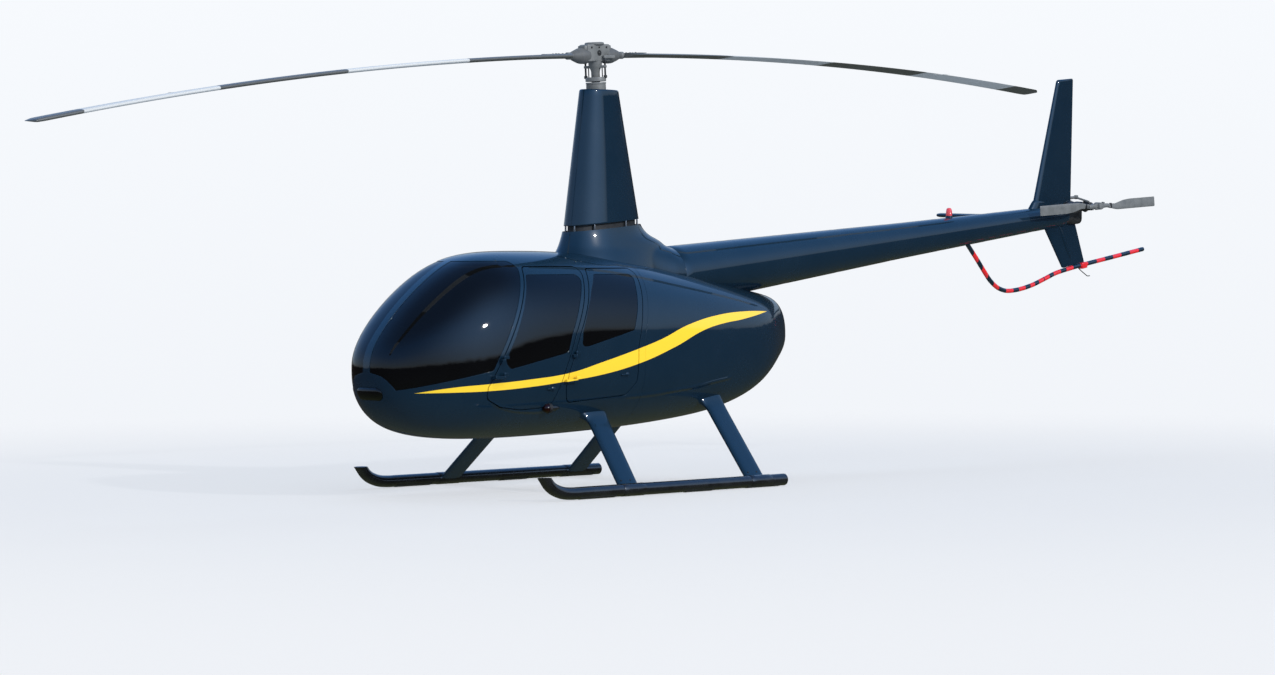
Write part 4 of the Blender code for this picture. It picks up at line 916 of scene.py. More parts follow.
OUTLINES = {name: rounded(rows) for name, rows in {
    "front_door": [(front_edge(DOOR_TOP), DOOR_TOP, 0.05), (front_edge(0.80), 0.80, 0.00), (1.575, 0.715, 0.05),
                   (1.44, 0.650, 0.10), (1.25, 0.625, 0.20), (0.985, 0.640, 0.08), (0.925, 0.800, 0.05),
                   (0.893, 0.890, 0.00), (0.775, 1.170, 0.20), (0.655, 1.390, 0.00), (0.525, DOOR_TOP, 0.05)],
    "rear_door": [(0.489, DOOR_TOP - 0.015, 0.05), (0.619, 1.390, 0.00), (0.739, 1.170, 0.20),
                  (0.857, 0.890, 0.00), (0.875, 0.780, 0.06), (0.840, 0.665, 0.06), (0.250, 0.705, 0.08),
                  (0.158, 0.800, 0.06), (0.152, 1.060, 0.20), (0.070, 1.330, 0.20),
                  (-0.045, DOOR_TOP - 0.015, 0.05)],
    "front_window": [(1.105, 1.600, 0.04), (front_edge(1.130, -0.036), 1.130, 0.00), (1.440, 0.980, 0.05),
                     (1.395, 0.925, 0.03), (0.862, 1.035, 0.05), (0.815, 1.170, 0.20), (0.697, 1.390, 0.20),
                     (0.575, 1.600, 0.04)],
    "rear_window": [(0.440, 1.600, 0.04), (0.545, 1.480, 0.20), (0.640, 1.330, 0.20), (0.712, 1.180, 0.10),
                    (0.728, 1.072, 0.03), (0.660, 1.075, 0.05), (0.190, 1.185, 0.02), (0.130, 1.323, 0.20),
                    (0.065, 1.500, 0.20), (0.018, 1.598, 0.03)],
    "windscreen": [(front_edge(1.70, FRAME_WIDTH), 1.700, 0.05), (front_edge(1.02, FRAME_WIDTH), 1.020, 0.10),
                   (1.535, 0.918, 0.03), (1.750, 0.872, 0.00), (2.150, 0.785, 0.00), (2.218, 0.905, 0.00),
                   (2.400, 1.100, 0.00), (2.400, 1.700, 0.00)]}.items()}
print("outline points", {name: len(ring) for name, ring in OUTLINES.items()})

# %% Door edges
HINGE_AXIS = {"front": (1.470, 0.634), "rear": (0.800, 0.662)}
RAKE_START = {"front": 0.45, "rear": 0.95}


def rake_of(door):
    """The sideways shift of a door's rear edge for each metre that it goes in."""
    axis_x, axis_y = HINGE_AXIS[door]

    def rake(ring):
        points, _ = skin(*on_skin(ring))
        lean = np.clip((front_edge(ring[:, 1]) - ring[:, 0] - RAKE_START[door]) / 0.10, 0, 1)
        return lean * (axis_y - points[:, 1]) / np.maximum(axis_x - ring[:, 0], 0.25)
    return rake


# %% Windscreen edge
CENTRE_POST = 0.037
FRONT_HALF = STEP_TABLE[:3000]


def windscreen_loop(shrink):
    """The windscreen's edge on the skin: its side outline, closed by the line where the centre post begins."""
    ring = divided(inset_ring(OUTLINES["windscreen"], shrink), 0.006)
    post = CENTRE_POST + shrink
    x, z = ring.T
    rows, _ = body_rows(step_at(x))
    fits = (x < 2.21) & (z < rows[:, 4] - 0.0005) & (z > rows[:, 2])
    width = np.zeros(len(ring))
    width[fits] = skin(*on_skin(ring[fits]))[0][:, 1]
    outside = np.flatnonzero(width < post)
    first = outside[-1] + 1 if outside[0] == 0 or outside[-1] - outside[0] == len(outside) - 1 else 0
    kept = np.roll(ring, -first, axis=0)[np.roll(width, -first) >= post]
    edge = np.stack(on_skin(kept), axis=-1)
    # The line y = post on the skin, from the roof over the nose to the lower edge
    half = body_rows(FRONT_HALF)[0][:, 1]
    steps, ratio = FRONT_HALF[half > post], post / half[half > post]
    upper = np.stack([steps[::-1], np.arccos(ratio ** (ROUND_TOP / 2))[::-1]], axis=-1)
    line = np.vstack([upper, np.stack([steps, -np.arccos(ratio ** (ROUND_BELLY / 2))], axis=-1)])
    on_line, _ = skin(*line.T)
    odd = loops_test(on_line[:, [0, 2]], [ring])[0]
    line, on_line = line[odd], on_line[odd]
    run = np.concatenate([[0.0], np.cumsum(np.linalg.norm(np.diff(on_line, axis=0), axis=1))])
    even = np.linspace(0, run[-1], max(8, int(run[-1] / 0.012)))
    line = np.stack([np.interp(even, run, column) for column in line.T], axis=-1)
    edge_end, line_ends = skin(*edge[-1])[0], skin(*line[[0, -1]].T)[0]
    if np.linalg.norm(edge_end - line_ends[0]) > np.linalg.norm(edge_end - line_ends[1]):
        line = line[::-1]
    return *np.vstack([edge, line]).T, None


# %% Split line and lamp edge
SPLIT_X, SPLIT_Z = (0.085, 0.085, -0.175), (0.20, 1.12, 1.90)
LAMP_HALF, LAMP_RADIUS, LAMP_Z = 0.139, 0.046, 0.758


def split_loop(shift):
    """The raked line where the cabin ends, all the way round: the station that fits each angle."""
    angle = turn_angles(300, 0.5)
    step = np.full(300, step_at(SPLIT_X[0]))
    for _ in range(30):
        points, _ = skin(step, angle)
        step = step_at(np.interp(points[:, 2], SPLIT_Z, SPLIT_X) + shift)
    return step, angle, None


def lamp_loop(shrink):
    """The capsule of the nose lamp, pressed from the front onto the skin by halving a range of steps."""
    radius = LAMP_RADIUS - shrink
    t = np.linspace(-np.pi / 2, np.pi / 2, 17)
    port_end = np.stack([LAMP_HALF - LAMP_RADIUS + radius * np.cos(t), radius * np.sin(t)], axis=-1)
    y, z = divided(np.vstack([port_end, -port_end]), 0.012).T
    low, high = np.full(len(y), 0.05), np.full(len(y), 4.0)
    for _ in range(40):
        step = (low + high) / 2
        _, half, belly, waist, roof = body_rows(step)[0].T
        up_by = z + LAMP_Z - waist
        rise = np.where(up_by >= 0, roof - waist, waist - belly)
        power = np.where(up_by >= 0, ROUND_TOP, ROUND_BELLY)
        beyond = np.abs(y / half) ** power + np.abs(up_by / rise) ** power > 1
        low, high = np.where(beyond, step, low), np.where(beyond, high, step)
    return step, np.arctan2(signed(up_by / rise, power / 2), signed(y / half, power / 2)), None


# %% [markdown]
# ## Hinges
# Each door turns on two knuckles outside the skin. Half of each belongs to the
# body and half to the door, one above the other on the same pin.

# %% Hinges
KNUCKLE, HINGE_SLACK = 0.022, 0.0005
HINGE_HEIGHTS = {"front": (0.880, 1.000), "rear": (0.840, 1.020)}
BODY_FOOT = {"front": (1.5475, 1.483), "rear": (0.891, 0.825)}
DOOR_FOOT = {"front": (1.445, 1.434), "rear": (0.770, 0.770)}


def hinge_halves(door, on_door):
    """For each hinge of a door, one half: a knuckle, the strap along the skin and the foot that holds it."""
    x, y = HINGE_AXIS[door]
    parts = []
    for height, root_x in zip(HINGE_HEIGHTS[door], (DOOR_FOOT if on_door else BODY_FOOT)[door]):
        low, high = (height + HINGE_SLACK, height + KNUCKLE) if on_door else (height - KNUCKLE, height)
        middle, tall = (low + high) / 2, (high - low) / 2
        ends = sorted((x, root_x + 0.0075 * (1 if root_x > x else -1)))
        reach = (y + 0.010 - half_width(root_x, middle)) / 2
        parts += [rod((x, y, low), (x, y, high), 0.009, ease=0.0015),
                  block((sum(ends) / 2, y, middle), ((ends[1] - ends[0]) / 2, 0.004, tall), square=0.15),
                  block((root_x, y + 0.004 - reach, middle), (0.0075, reach, tall), square=0.15)]
        if on_door:
            pin = [(0.0, 0.004), (0.0045, 0.0035), (0.0065, 0.0015), (0.0070, 0.0)]
            parts.append(turned(pin, (x, y, high), sides=16))
    return parts


# %% [markdown]
# ## Cabin skin
# Nose, roof, posts and belly are one shell, with holes for the windscreen, the
# four doors and the nose lamp. Its inner face is lined with trim.

# %% Cabin skin
SPACING = 0.026
holes_and_shade_discs = [windscreen_loop(0.0)]
for door in ("front", "rear"):
    holes_and_shade_discs.append(side_loop(OUTLINES[door + "_door"], rake_of(door)))
starboard_holes = [(step, np.pi - angle, rake) for step, angle, rake in holes_and_shade_discs]
outer, inner = make_panel([split_loop(SEAM / 2), *holes_and_shade_discs, *starboard_holes, lamp_loop(0.0)], 0.0, WALL, SPACING,
                          "nose")
hinges = hinge_halves("front", False) + hinge_halves("rear", False)
make_piece("cabin_skin", {"navy_paint": [outer, *hinges, *map(mirrored, hinges)], "lining": [inner]},
           "cabin_shell")

# %% [markdown]
# ## Windscreen and doors
# One windscreen half and the two port doors are made, and their mirror images
# give the starboard side. Each door carries its pane, so the two ride on the
# same body.

# %% Glass and doors
GLASS_DEPTH, GLASS = 0.003, 0.006


def glass_pair(name, loop, node, body="airframe"):
    """A pane just under the skin, on both sides."""
    panes = make_panel([loop], GLASS_DEPTH, GLASS, 0.024, None, 0.0012)
    make_pair(name, {"tinted_glass": panes}, node, body, slot="tinted_glass")


def door_handle(door):
    """A flush oval plate with a lever, near the door's rear edge."""
    x, z = (0.990, 0.775) if door == "front" else (0.270, 0.860)
    y = half_width(x, z)
    base = [(0.0, 0.0035), (0.014, 0.003), (0.017, 0.001), (0.017, -0.003)]
    return [turned(base, (x, y, z), ACROSS, 28),
            block((x + 0.028, y + 0.010, z), (0.038, 0.0030, 0.0065), square=0.45),
            rod((x, y, z), (x, y + 0.011, z), 0.006)]


def inside_trim(door):
    """The arm rest and the pull strap on the inner face of a door."""
    x, z = (1.13, 0.86) if door == "front" else (0.50, 0.86)
    y = half_width(x, z) - WALL
    rest = block((x, y - 0.022, z), (0.150, 0.024, 0.020), square=0.40)
    pull = pipe(smooth_path([(x - 0.11, y + 0.004, z + 0.13), (x - 0.07, y - 0.030, z + 0.15),
                             (x + 0.03, y - 0.030, z + 0.16), (x + 0.07, y + 0.004, z + 0.15)], 20), 0.007, 12)
    return [rest], [pull]


glass_pair("windscreen_glass_SIDE", windscreen_loop(SEAM), "windscreen_SIDE")
for door in ("front", "rear"):
    window = OUTLINES[door + "_window"]
    edge = side_loop(inset_ring(OUTLINES[door + "_door"], DOOR_GAP), rake_of(door))
    outer, inner = make_panel([edge, side_loop(window)], 0.0, WALL, SPACING)
    rest, pull = inside_trim(door)
    make_pair(f"door_skin_{door}_SIDE",
              {"navy_paint": [outer, *hinge_halves(door, True), *door_handle(door)], "lining": [inner],
               "dark_steel": pull, "leather": rest}, f"door_{door}_SIDE", f"{door}_door_SIDE")
    glass_pair(f"door_glass_{door}_SIDE", side_loop(inset_ring(window, SEAM)), f"door_window_{door}_SIDE",
               f"{door}_door_SIDE")

# %% [markdown]
# ## Engine bay
# The tapered body behind the cabin is the same surface, from the split line to
# its round end.

# %% Engine bay
outer, inner = make_panel([split_loop(-SEAM / 2)], 0.0, WALL, 0.030, "tail")
make_piece("engine_skin", {"navy_paint": [outer], "engine_cast": [inner]}, "engine_cowl")

# %% [markdown]
# ## Nose lamp
# Two round lamps sit side by side behind one dark capsule-shaped lens, which
# swells 20 mm out of the nose. The reflector bowls are turned parts, and a dark
# tray behind them closes the hole.

# %% Nose lamp
LAMP_BULGE = 0.020
BOWL = [(0.006, -0.014), (0.020, -0.010), (0.031, 0.000), (0.036, 0.012), (0.039, 0.012), (0.034, -0.003),
        (0.022, -0.015), (0.006, -0.019)]
BULB = [(0.000, 0.010), (0.005, 0.008), (0.007, 0.002), (0.006, -0.012)]


def bulged(sheet):
    """The lens swelled forwards: x + bulge (1 - d^2 / radius^2)^0.6, with d the distance to its middle line."""
    points, faces, _ = sheet
    past_end = np.maximum(np.abs(points[:, 1]) - (LAMP_HALF - LAMP_RADIUS), 0.0)
    share = np.clip(1 - (past_end ** 2 + (points[:, 2] - LAMP_Z) ** 2) / LAMP_RADIUS ** 2, 0.0, 1.0)
    return points + np.outer(LAMP_BULGE * share ** 0.6, AHEAD), faces


lamp_x = float(skin(*lamp_loop(0.0)[:2])[0][:, 0].min()) - 0.026
lamps = [(lamp_x, y, LAMP_Z) for y in (-0.082, 0.082)]
tray = block((lamp_x - 0.032, 0.0, LAMP_Z), (0.012, LAMP_HALF - 0.006, LAMP_RADIUS - 0.005), square=0.3)
make_piece("nose_lamp", {"lamp_glass": [bulged(s) for s in make_panel([lamp_loop(SEAM)], 0.002, 0.006, 0.006,
                                                                      "nose", 0.001)],
                         "reflector": [turned(BOWL, place, AHEAD, 36) for place in lamps], "panel_black": [tray],
                         "dial_white": [turned(BULB, place, AHEAD, 16) for place in lamps]},
           "landing_light", slot="lamp_glass", sharp=50.0)

# %% [markdown]
# ## Roof cowl
# Behind the cabin roof the skin swells up to the mast and back to the tail
# cone. On the real machine it is one moulding with soft hollows where the two
# forms meet. Two lofts that cross are merged on a grid of small cubes and
# smoothed, which gives those hollows. Then the cowl is cut to the body's skin,
# to the joint under the mast fairing and to the cone's front end.

# %% Sections in plan and across
COWL_TOP = 1.940
FAIRING_FOOT, FAIRING_TOP = 1.982, 2.985
JOINT_SLOPE = 0.087
CONE_FRONT = -0.7197
# Rows of height, reach ahead, reach aft, half width, and share of the joint's slope
COWL_RINGS = [(1.500, 0.490, 0.560, 0.320, 0.0), (1.550, 0.470, 0.600, 0.300, 0.0),
              (1.700, 0.400, 0.660, 0.245, 0.0), (1.785, 0.355, 0.695, 0.208, 0.2),
              (1.825, 0.338, 0.640, 0.195, 0.4), (1.866, 0.326, 0.530, 0.183, 0.6),
              (1.905, 0.315, 0.468, 0.173, 0.8), (COWL_TOP, 0.308, 0.438, 0.166, 1.0),
              (1.990, 0.300, 0.425, 0.158, 1.0)]
# Rows of station, height, half width and half height
AFT_RINGS = [(0.00, 1.665, 0.200, 0.250), (-0.05, 1.660, 0.210, 0.260), (-0.25, 1.630, 0.200, 0.270),
             (-0.42, 1.610, 0.205, 0.270), (-0.55, 1.590, 0.222, 0.255), (-0.64, 1.580, 0.236, 0.245),
             (CONE_FRONT, 1.566, 0.240, 0.240), (-0.80, 1.558, 0.2375, 0.2375)]


def plan_rings(rows, columns=96):
    """Egg-shaped plan sections: x = reach cos t, y = half sin t, each in a plane that may rise aft."""
    z, fore, aft, half, slope = np.array(rows, dtype=float).T[:, :, None]
    t = turn_angles(columns, 0.5)
    x = np.where(np.cos(t) > 0, fore, aft) * np.cos(t)
    return xyz(x, half * np.sin(t), z - slope * x)


def cross_rings(rows, columns=96):
    """Oval sections across the machine: rows of station, height, half width, half height."""
    x, z, half, rise = np.array(rows, dtype=float).T[:, :, None]
    t = turn_angles(columns, 0.5)
    return xyz(x, half * np.cos(t), z + rise * np.sin(t))


# %% Help from Blender's own tools
def loose_object(sheets):
    """A plain object from sheets, for a step that needs Blender's own tools."""
    points, faces, _ = stacked(sheets)
    mesh = bpy.data.meshes.new("working")
    mesh.from_pydata(points.tolist(), [], faces)
    obj = bpy.data.objects.new("working", mesh)
    scene.collection.objects.link(obj)
    return obj


def modify(obj, kind, **settings):
    """A new modifier of that kind with its settings."""
    made = obj.modifiers.new(kind.lower(), kind)
    for key, value in settings.items():
        setattr(made, key, value)
    return made


def applied(obj):
    """Turns the object's modifiers into mesh and gives it back as a sheet of triangles."""
    bpy.context.view_layer.update()
    mesh = bpy.data.meshes.new_from_object(obj.evaluated_get(bpy.context.evaluated_depsgraph_get()))
    obj.modifiers.clear()
    obj.data = mesh
    mesh.calc_loop_triangles()
    points = read_values(mesh.vertices, "co", 3).astype(float)
    return points, [read_values(mesh.loop_triangles, "vertices", 3, np.int32)]


def sliced(obj, point, normal):
    """Removes what lies beyond a plane, and closes the cut."""
    work = bmesh.new()
    work.from_mesh(obj.data)
    everything = work.verts[:] + work.edges[:] + work.faces[:]
    cut = bmesh.ops.bisect_plane(work, geom=everything, plane_co=point, plane_no=normal, clear_outer=True)
    rim = [item for item in cut["geom_cut"] if isinstance(item, bmesh.types.BMEdge)]
    bmesh.ops.contextual_create(work, geom=rim)
    work.to_mesh(obj.data)
    work.free()


# %% Roof cowl
CUBE = 0.0085
column = skinned(plan_rings(finer_rows(np.array(COWL_RINGS) * (1, 1, 1, 1, JOINT_SLOPE))))
cowl = loose_object([column, skinned(cross_rings(finer_rows(AFT_RINGS)))])
modify(cowl, "REMESH", mode="VOXEL", voxel_size=CUBE)
modify(cowl, "SMOOTH", factor=0.5, iterations=26)
applied(cowl)
sliced(cowl, (0.0, 0.0, COWL_TOP), unit((JOINT_SLOPE, 0.0, 1.0)))
sliced(cowl, (CONE_FRONT + 0.0004, 0.0, 0.0), (-1.0, 0.0, 0.0))
points, normals = skin(np.linspace(4.5, 12.5, 120)[:, None], turn_angles(220)[None, :])
body_lump = loose_object([skinned(points + 0.0005 * normals)])
modify(cowl, "BOOLEAN", operation="DIFFERENCE", solver="EXACT", object=body_lump)
cowl_sheet = applied(cowl)
for helper in (cowl, body_lump):
    bpy.data.objects.remove(helper)
make_piece("roof_cowl_skin", {"navy_paint": [cowl_sheet]}, "roof_cowl")


# %% [markdown]
# ## Mast fairing
# A tall tapered shell of two halves round the rotor mast. It stands on small
# bright posts above the cowl, so a dark slot stays between them where the
# cooling air leaves.

# %% Screw heads
def screw_heads(places, ways, radius=0.0042, height=0.0012, sides=8):
    """Low domes on a surface, in one array: each is two rings and a middle point."""
    places, ways = np.asarray(places, dtype=float)[:, None], unit(ways)
    ring = radius * ring_round(*square_to(ways), sides)
    ways = ways[:, None]
    points = np.concatenate([places + ring - 0.0004 * ways, places + 0.72 * ring + 0.75 * height * ways,
                             places + height * ways, places - 0.0006 * ways], axis=1)
    j = np.arange(sides)
    k = (j + 1) % sides
    parts = [np.stack(rows, axis=-1) for rows in ((j, k, sides + k, sides + j),
                                                  (sides + j, sides + k, 0 * j + 2 * sides),
                                                  (k, j, 0 * j + 2 * sides + 1))]
    shift = (np.arange(len(points)) * (2 * sides + 2))[:, None, None]
    return points.reshape(-1, 3), [(part + shift).reshape(-1, part.shape[1]) for part in parts]


# %% Mast fairing
# Reach ahead, reach aft and half width, at the foot and at the top
FAIRING_PLAN = np.array([(0.292, 0.418, 0.160), (0.137, 0.225, 0.090)])
POST_INSET = 0.014


def fairing_plan(shares):
    """Plan sizes of the fairing at shares of its height."""
    return FAIRING_PLAN[0] + (FAIRING_PLAN[1] - FAIRING_PLAN[0]) * shares[:, None]


shares = np.concatenate([[0.0, 0.0006, 0.002], np.linspace(0.01, 0.985, 26), [0.992, 0.997, 1.0]])
shrink = np.concatenate([[0.0020, 0.0006, 0.0], np.zeros(26), [0.0012, 0.004, 0.010]])
fairing_rows = np.column_stack([FAIRING_FOOT + (FAIRING_TOP - FAIRING_FOOT) * shares,
                                fairing_plan(shares) - shrink[:, None], JOINT_SLOPE * (1 - shares)])
fairing = skinned(plan_rings(fairing_rows, 128))
neck_plan = FAIRING_PLAN[0] - 0.030
neck = skinned(plan_rings([(z, *neck_plan, JOINT_SLOPE) for z in (COWL_TOP - 0.004, FAIRING_FOOT + 0.010)]))
posts = []
for t in np.radians([20, 62, 118, 160, 200, 242, 298, 340]):
    x = (FAIRING_PLAN[0][0 if math.cos(t) > 0 else 1] - POST_INSET) * math.cos(t)
    y = (FAIRING_PLAN[0][2] - POST_INSET) * math.sin(t)
    foot, head = COWL_TOP - 0.004 - JOINT_SLOPE * x, FAIRING_FOOT + 0.004 - JOINT_SLOPE * x
    posts.append(rod((x, y, foot), (x, y, head), 0.007))
# Screws down both sides of the seam at the tail edge
screw_z = np.linspace(FAIRING_FOOT + 0.12, FAIRING_TOP - 0.08, 13)
_, aft, half = fairing_plan((screw_z - FAIRING_FOOT) / (FAIRING_TOP - FAIRING_FOOT)).T
seam_x, seam_y = math.cos(math.radians(157)), math.sin(math.radians(157))
screws = screw_heads(xyz(aft * seam_x, half * seam_y, screw_z), xyz(seam_x / aft, seam_y / half, 0.0))
make_piece("mast_fairing_skin", {"navy_paint": [fairing], "panel_black": [neck],
                                 "bright_steel": [*posts, screws, mirrored(screws)]}, "mast_fairing")

# %% [markdown]
# ## Tail cone
# Thin aluminium sheets are rolled to a taper and riveted in bays, each lapping
# over the next. The laps are under a millimetre high, so they show only as fine
# lines, with two rows of rivets just ahead of each.

# %% Tail cone
# Rows of station, height of the axis, and radius
CONE = np.array([(-0.72, 1.566, 0.240), (-2.21, 1.7245, 0.1885), (-3.39, 1.8505, 0.1465), (-5.08, 2.030, 0.100),
                 (-5.46, 2.068, 0.090)])
LAPS = (-1.32, -1.95, -2.58, -3.20, -3.82, -4.42, -5.00)
LAP_STEP = 0.0007


def cone_at(x):
    """Axis height and radius of the tail cone at a station."""
    stations, heights, radii = CONE[::-1].T
    return np.interp(x, stations, heights), np.interp(x, stations, radii)


rows = [(-0.7205, -0.0025), (-0.7212, -0.0008), (-0.7230, 0.0)]
bay_start = -0.7230
for lap in LAPS:
    rows += [(x, 0.0) for x in np.linspace(bay_start, lap + 0.0004, 8)[1:]]
    rows += [(lap - 0.0004, -LAP_STEP), (lap - 0.05, -LAP_STEP), (lap - 0.09, 0.0)]
    bay_start = lap - 0.09
rows += [(x, 0.0) for x in np.linspace(bay_start, -5.457, 6)[1:]] + [(-5.4592, -0.0008), (-5.4600, -0.0025)]
stations, change = np.array(rows).T
axis_z, radius = cone_at(stations)
cone_sheet = skinned(cross_rings(np.stack([stations, axis_z, radius + change, radius + change], -1), 112))
rivet_x, rivet_turn = np.meshgrid([lap + shift for lap in LAPS for shift in (0.012, 0.030)], turn_angles(44, 0.5),
                                  indexing="ij")
rivet_z, rivet_r = cone_at(rivet_x)
rivet_ways = xyz(0.0, np.cos(rivet_turn), np.sin(rivet_turn))
rivet_places = xyz(rivet_x, 0.0, rivet_z) + rivet_r[..., None] * rivet_ways
rivets = screw_heads(rivet_places.reshape(-1, 3), rivet_ways.reshape(-1, 3), 0.0026, 0.0006, 6)
make_piece("tail_cone_skin", {"navy_paint": [cone_sheet, rivets]}, "tail_cone")


# %% [markdown]
# ## Fins and tailplane
# Each is a thin symmetric wing. Its section has the thickness
# t (sqrt(s) - s) (1 - s / 4) at the share s of its chord, and its tip closes
# over a short round end.

# %% Wings
def section(chord, thickness, columns=56):
    """A symmetric wing section: distance behind the nose, and height, once round."""
    t = turn_angles(columns)
    s = 0.5 - 0.5 * np.cos(t)
    half = 2.2 * thickness * (np.sqrt(s) - s) * (1.0 - 0.25 * s) + 0.0008 * np.sin(t / 2) ** 0.5
    return s * chord, np.where(t <= np.pi, half, -half)


def wing(noses, tails, thickness, thick_way, tip=0.02, rows=26):
    """Sections from root to tip between two lines. The last part closes round, and draws in the corners."""
    noses, tails = np.array(noses, dtype=float), np.array(tails, dtype=float)
    start = 1 - tip / np.linalg.norm(noses[1] - noses[0])
    ending = 1 - (1 - start) * (1 - np.sin(np.linspace(0, np.pi / 2, 7)[1:]))
    share = np.concatenate([np.linspace(0, start, rows), ending])[:, None]
    close = np.clip((share - start) / (1 - start), 0, 1)
    narrow = np.sqrt(np.maximum(1 - close ** 2, 0.0016))
    nose, tail = (pair[0] + (pair[1] - pair[0]) * share for pair in (noses, tails))
    inset = (1 - narrow) * 0.10 * (tail - nose)
    thick = (thickness[0] + (thickness[1] - thickness[0]) * share) * narrow * thick_way
    behind, height = section(1.0, 1.0)
    chord = tail - nose - 2 * inset
    return skinned((nose + inset)[:, None] + behind[:, None] * chord[:, None] + height[:, None] * thick[:, None])


# %% Fins and tailplane
fin = wing([(-5.060, 0, 2.100), (-5.398, 0, 3.235)], [(-5.575, 0, 2.100), (-5.617, 0, 3.255)], (0.050, 0.030),
           ACROSS)
fin_foot = wing([(-5.010, 0, 2.110), (-5.095, 0, 2.215)], [(-5.50, 0, 2.110), (-5.50, 0, 2.215)], (0.062, 0.046),
                ACROSS, 0.05)
make_piece("upper_fin", {"navy_paint": [fin, fin_foot]}, "fin_upper")
fin = wing([(-5.200, 0, 2.000), (-5.463, 0, 1.615)], [(-5.640, 0, 2.000), (-5.761, 0, 1.668)], (0.045, 0.027),
           ACROSS, 0.012)
rib_share = np.linspace(0, 1, 20)
rib_path = np.array((-5.400, 0.0, 1.985)) + np.outer(rib_share, (-0.160, 0.0, -0.285))
rib_points, rib_faces = pipe(rib_path, 0.017 + 0.006 * np.sin(np.pi * rib_share), 20, 0.006)
rib = (rib_points * (1.0, 1.25, 1.0), rib_faces)
tail_wire = pipe(smooth_path([(-5.660, 0, 1.640), (-5.701, 0, 1.604), (-5.795, 0, 1.551), (-5.812, 0, 1.547),
                              (-5.837, 0, 1.549)], 24), 0.0040, 10)
make_piece("lower_fin", {"navy_paint": [fin, rib], "dark_steel": [tail_wire]}, "fin_lower")
plane = wing([(-4.960, -0.02, 2.050), (-4.963, -1.010, 2.085)], [(-5.300, -0.02, 2.050), (-5.269, -1.010, 2.085)],
             (0.040, 0.036), UPRIGHT, 0.016, 20)
make_piece("tailplane", {"navy_paint": [plane]}, "stabiliser")

# %% [markdown]
# ## Tail rotor
# A cast gearbox carries the shaft out to port. Two narrow blades turn on it,
# with weights near their roots and a link to change their pitch. A rod comes
# aft beside the fin and swings the crank that moves the link.

# %% Tail gearbox
TAIL_ROTOR = np.array((-5.71, 0.20, 2.150))
x, y, z = TAIL_ROTOR
gearbox = [block((-5.5750, 0.0, 2.0925), (0.1145, 0.0545, 0.0970), square=0.42, rows=21, columns=48),
           rod((x, -0.045, z), (x, y - 0.078, z), 0.0445, 0.035, 40, 0.003),
           rod((-5.692, 0.0, 2.072), (-5.670, 0.0, 2.072), 0.020, 0.034, 32, 0.003),
           turned([(0.046, 0.0), (0.0495, 0.002), (0.0495, 0.008), (0.046, 0.010)], (x, 0.050, z), ACROSS, 40)]
pitch_rod = [rod((-5.470, -0.050, 2.206), (-5.700, -0.034, 2.232), 0.0125, sides=20),
             rod((-5.688, -0.040, 2.231), (-5.696, 0.110, 2.188), 0.0090, sides=16),
             rod((-5.570, -0.045, 2.217), (-5.600, 0.020, 2.180), 0.0080, sides=16),
             block((-5.696, -0.034, 2.231), (0.018, 0.014, 0.018), square=0.5)]
bolt_turn = turn_angles(8, 0.5)
bolt_places = xyz(x + 0.042 * np.cos(bolt_turn), 0.060, z + 0.042 * np.sin(bolt_turn))
shaft = [screw_heads(bolt_places, [ACROSS] * 8, 0.0045, 0.004, 6),
         rod((x, 0.050, z), (x, y - 0.0305, z), 0.016, sides=28),
         turned([(0.020, 0.0), (0.0225, 0.002), (0.0225, 0.012), (0.020, 0.014)], (x, 0.132, z), ACROSS)]
make_piece("tail_gearbox_case", {"dark_steel": gearbox, "bright_steel": shaft, "hub_grey": pitch_rod},
           "tail_gearbox", slot="dark_metal")

# %% Tail hub
TAIL_LEAN = math.radians(-3.6)
TAIL_TURN = Matrix.Translation(TAIL_ROTOR.tolist()) @ Matrix.Rotation(TAIL_LEAN, 4, (0.0, -1.0, 0.0))


def tail_piece(name, parts, node):
    """A piece of the tail rotor, built round the origin and leaned on its shaft."""
    leaned = {key: [moved(sheet, TAIL_TURN) for sheet in sheets] for key, sheets in parts.items()}
    make_piece(name, leaned, node, "tail_rotor", "grey_paint")


hub_parts = [rod((0, -0.0295, 0), (0, 0.0395, 0), 0.0335, 0.0298, 40, 0.003),
             block((0, 0.002, 0), (0.060, 0.016, 0.026), square=0.35),
             rod((0, 0.036, 0), (0, 0.0398, 0), 0.014, sides=6)]
hub_bolts = []
for side in (-1, 1):
    hub_parts += [rod((0.02 * side, 0, 0), (0.134 * side, 0, 0), 0.0215, 0.0168, 32, 0.002),
                  block((0.100 * side, 0.0, 0), (0.030, 0.012, 0.018), square=0.3),
                  rod((0.075 * side, -0.020, -0.030 * side), (0.075 * side, 0.0, -0.026 * side), 0.0045, sides=12),
                  block((0.075 * side, 0.0, -0.018 * side), (0.009, 0.006, 0.014), square=0.4)]
    hub_bolts.append(screw_heads([(0.088 * side, 0.012, 0.006), (0.112 * side, 0.012, -0.004)], [ACROSS] * 2,
                                 0.0045, 0.004, 6))
tail_piece("tail_hub", {"hub_grey": hub_parts, "bright_steel": hub_bolts}, "tail_rotor_hub")

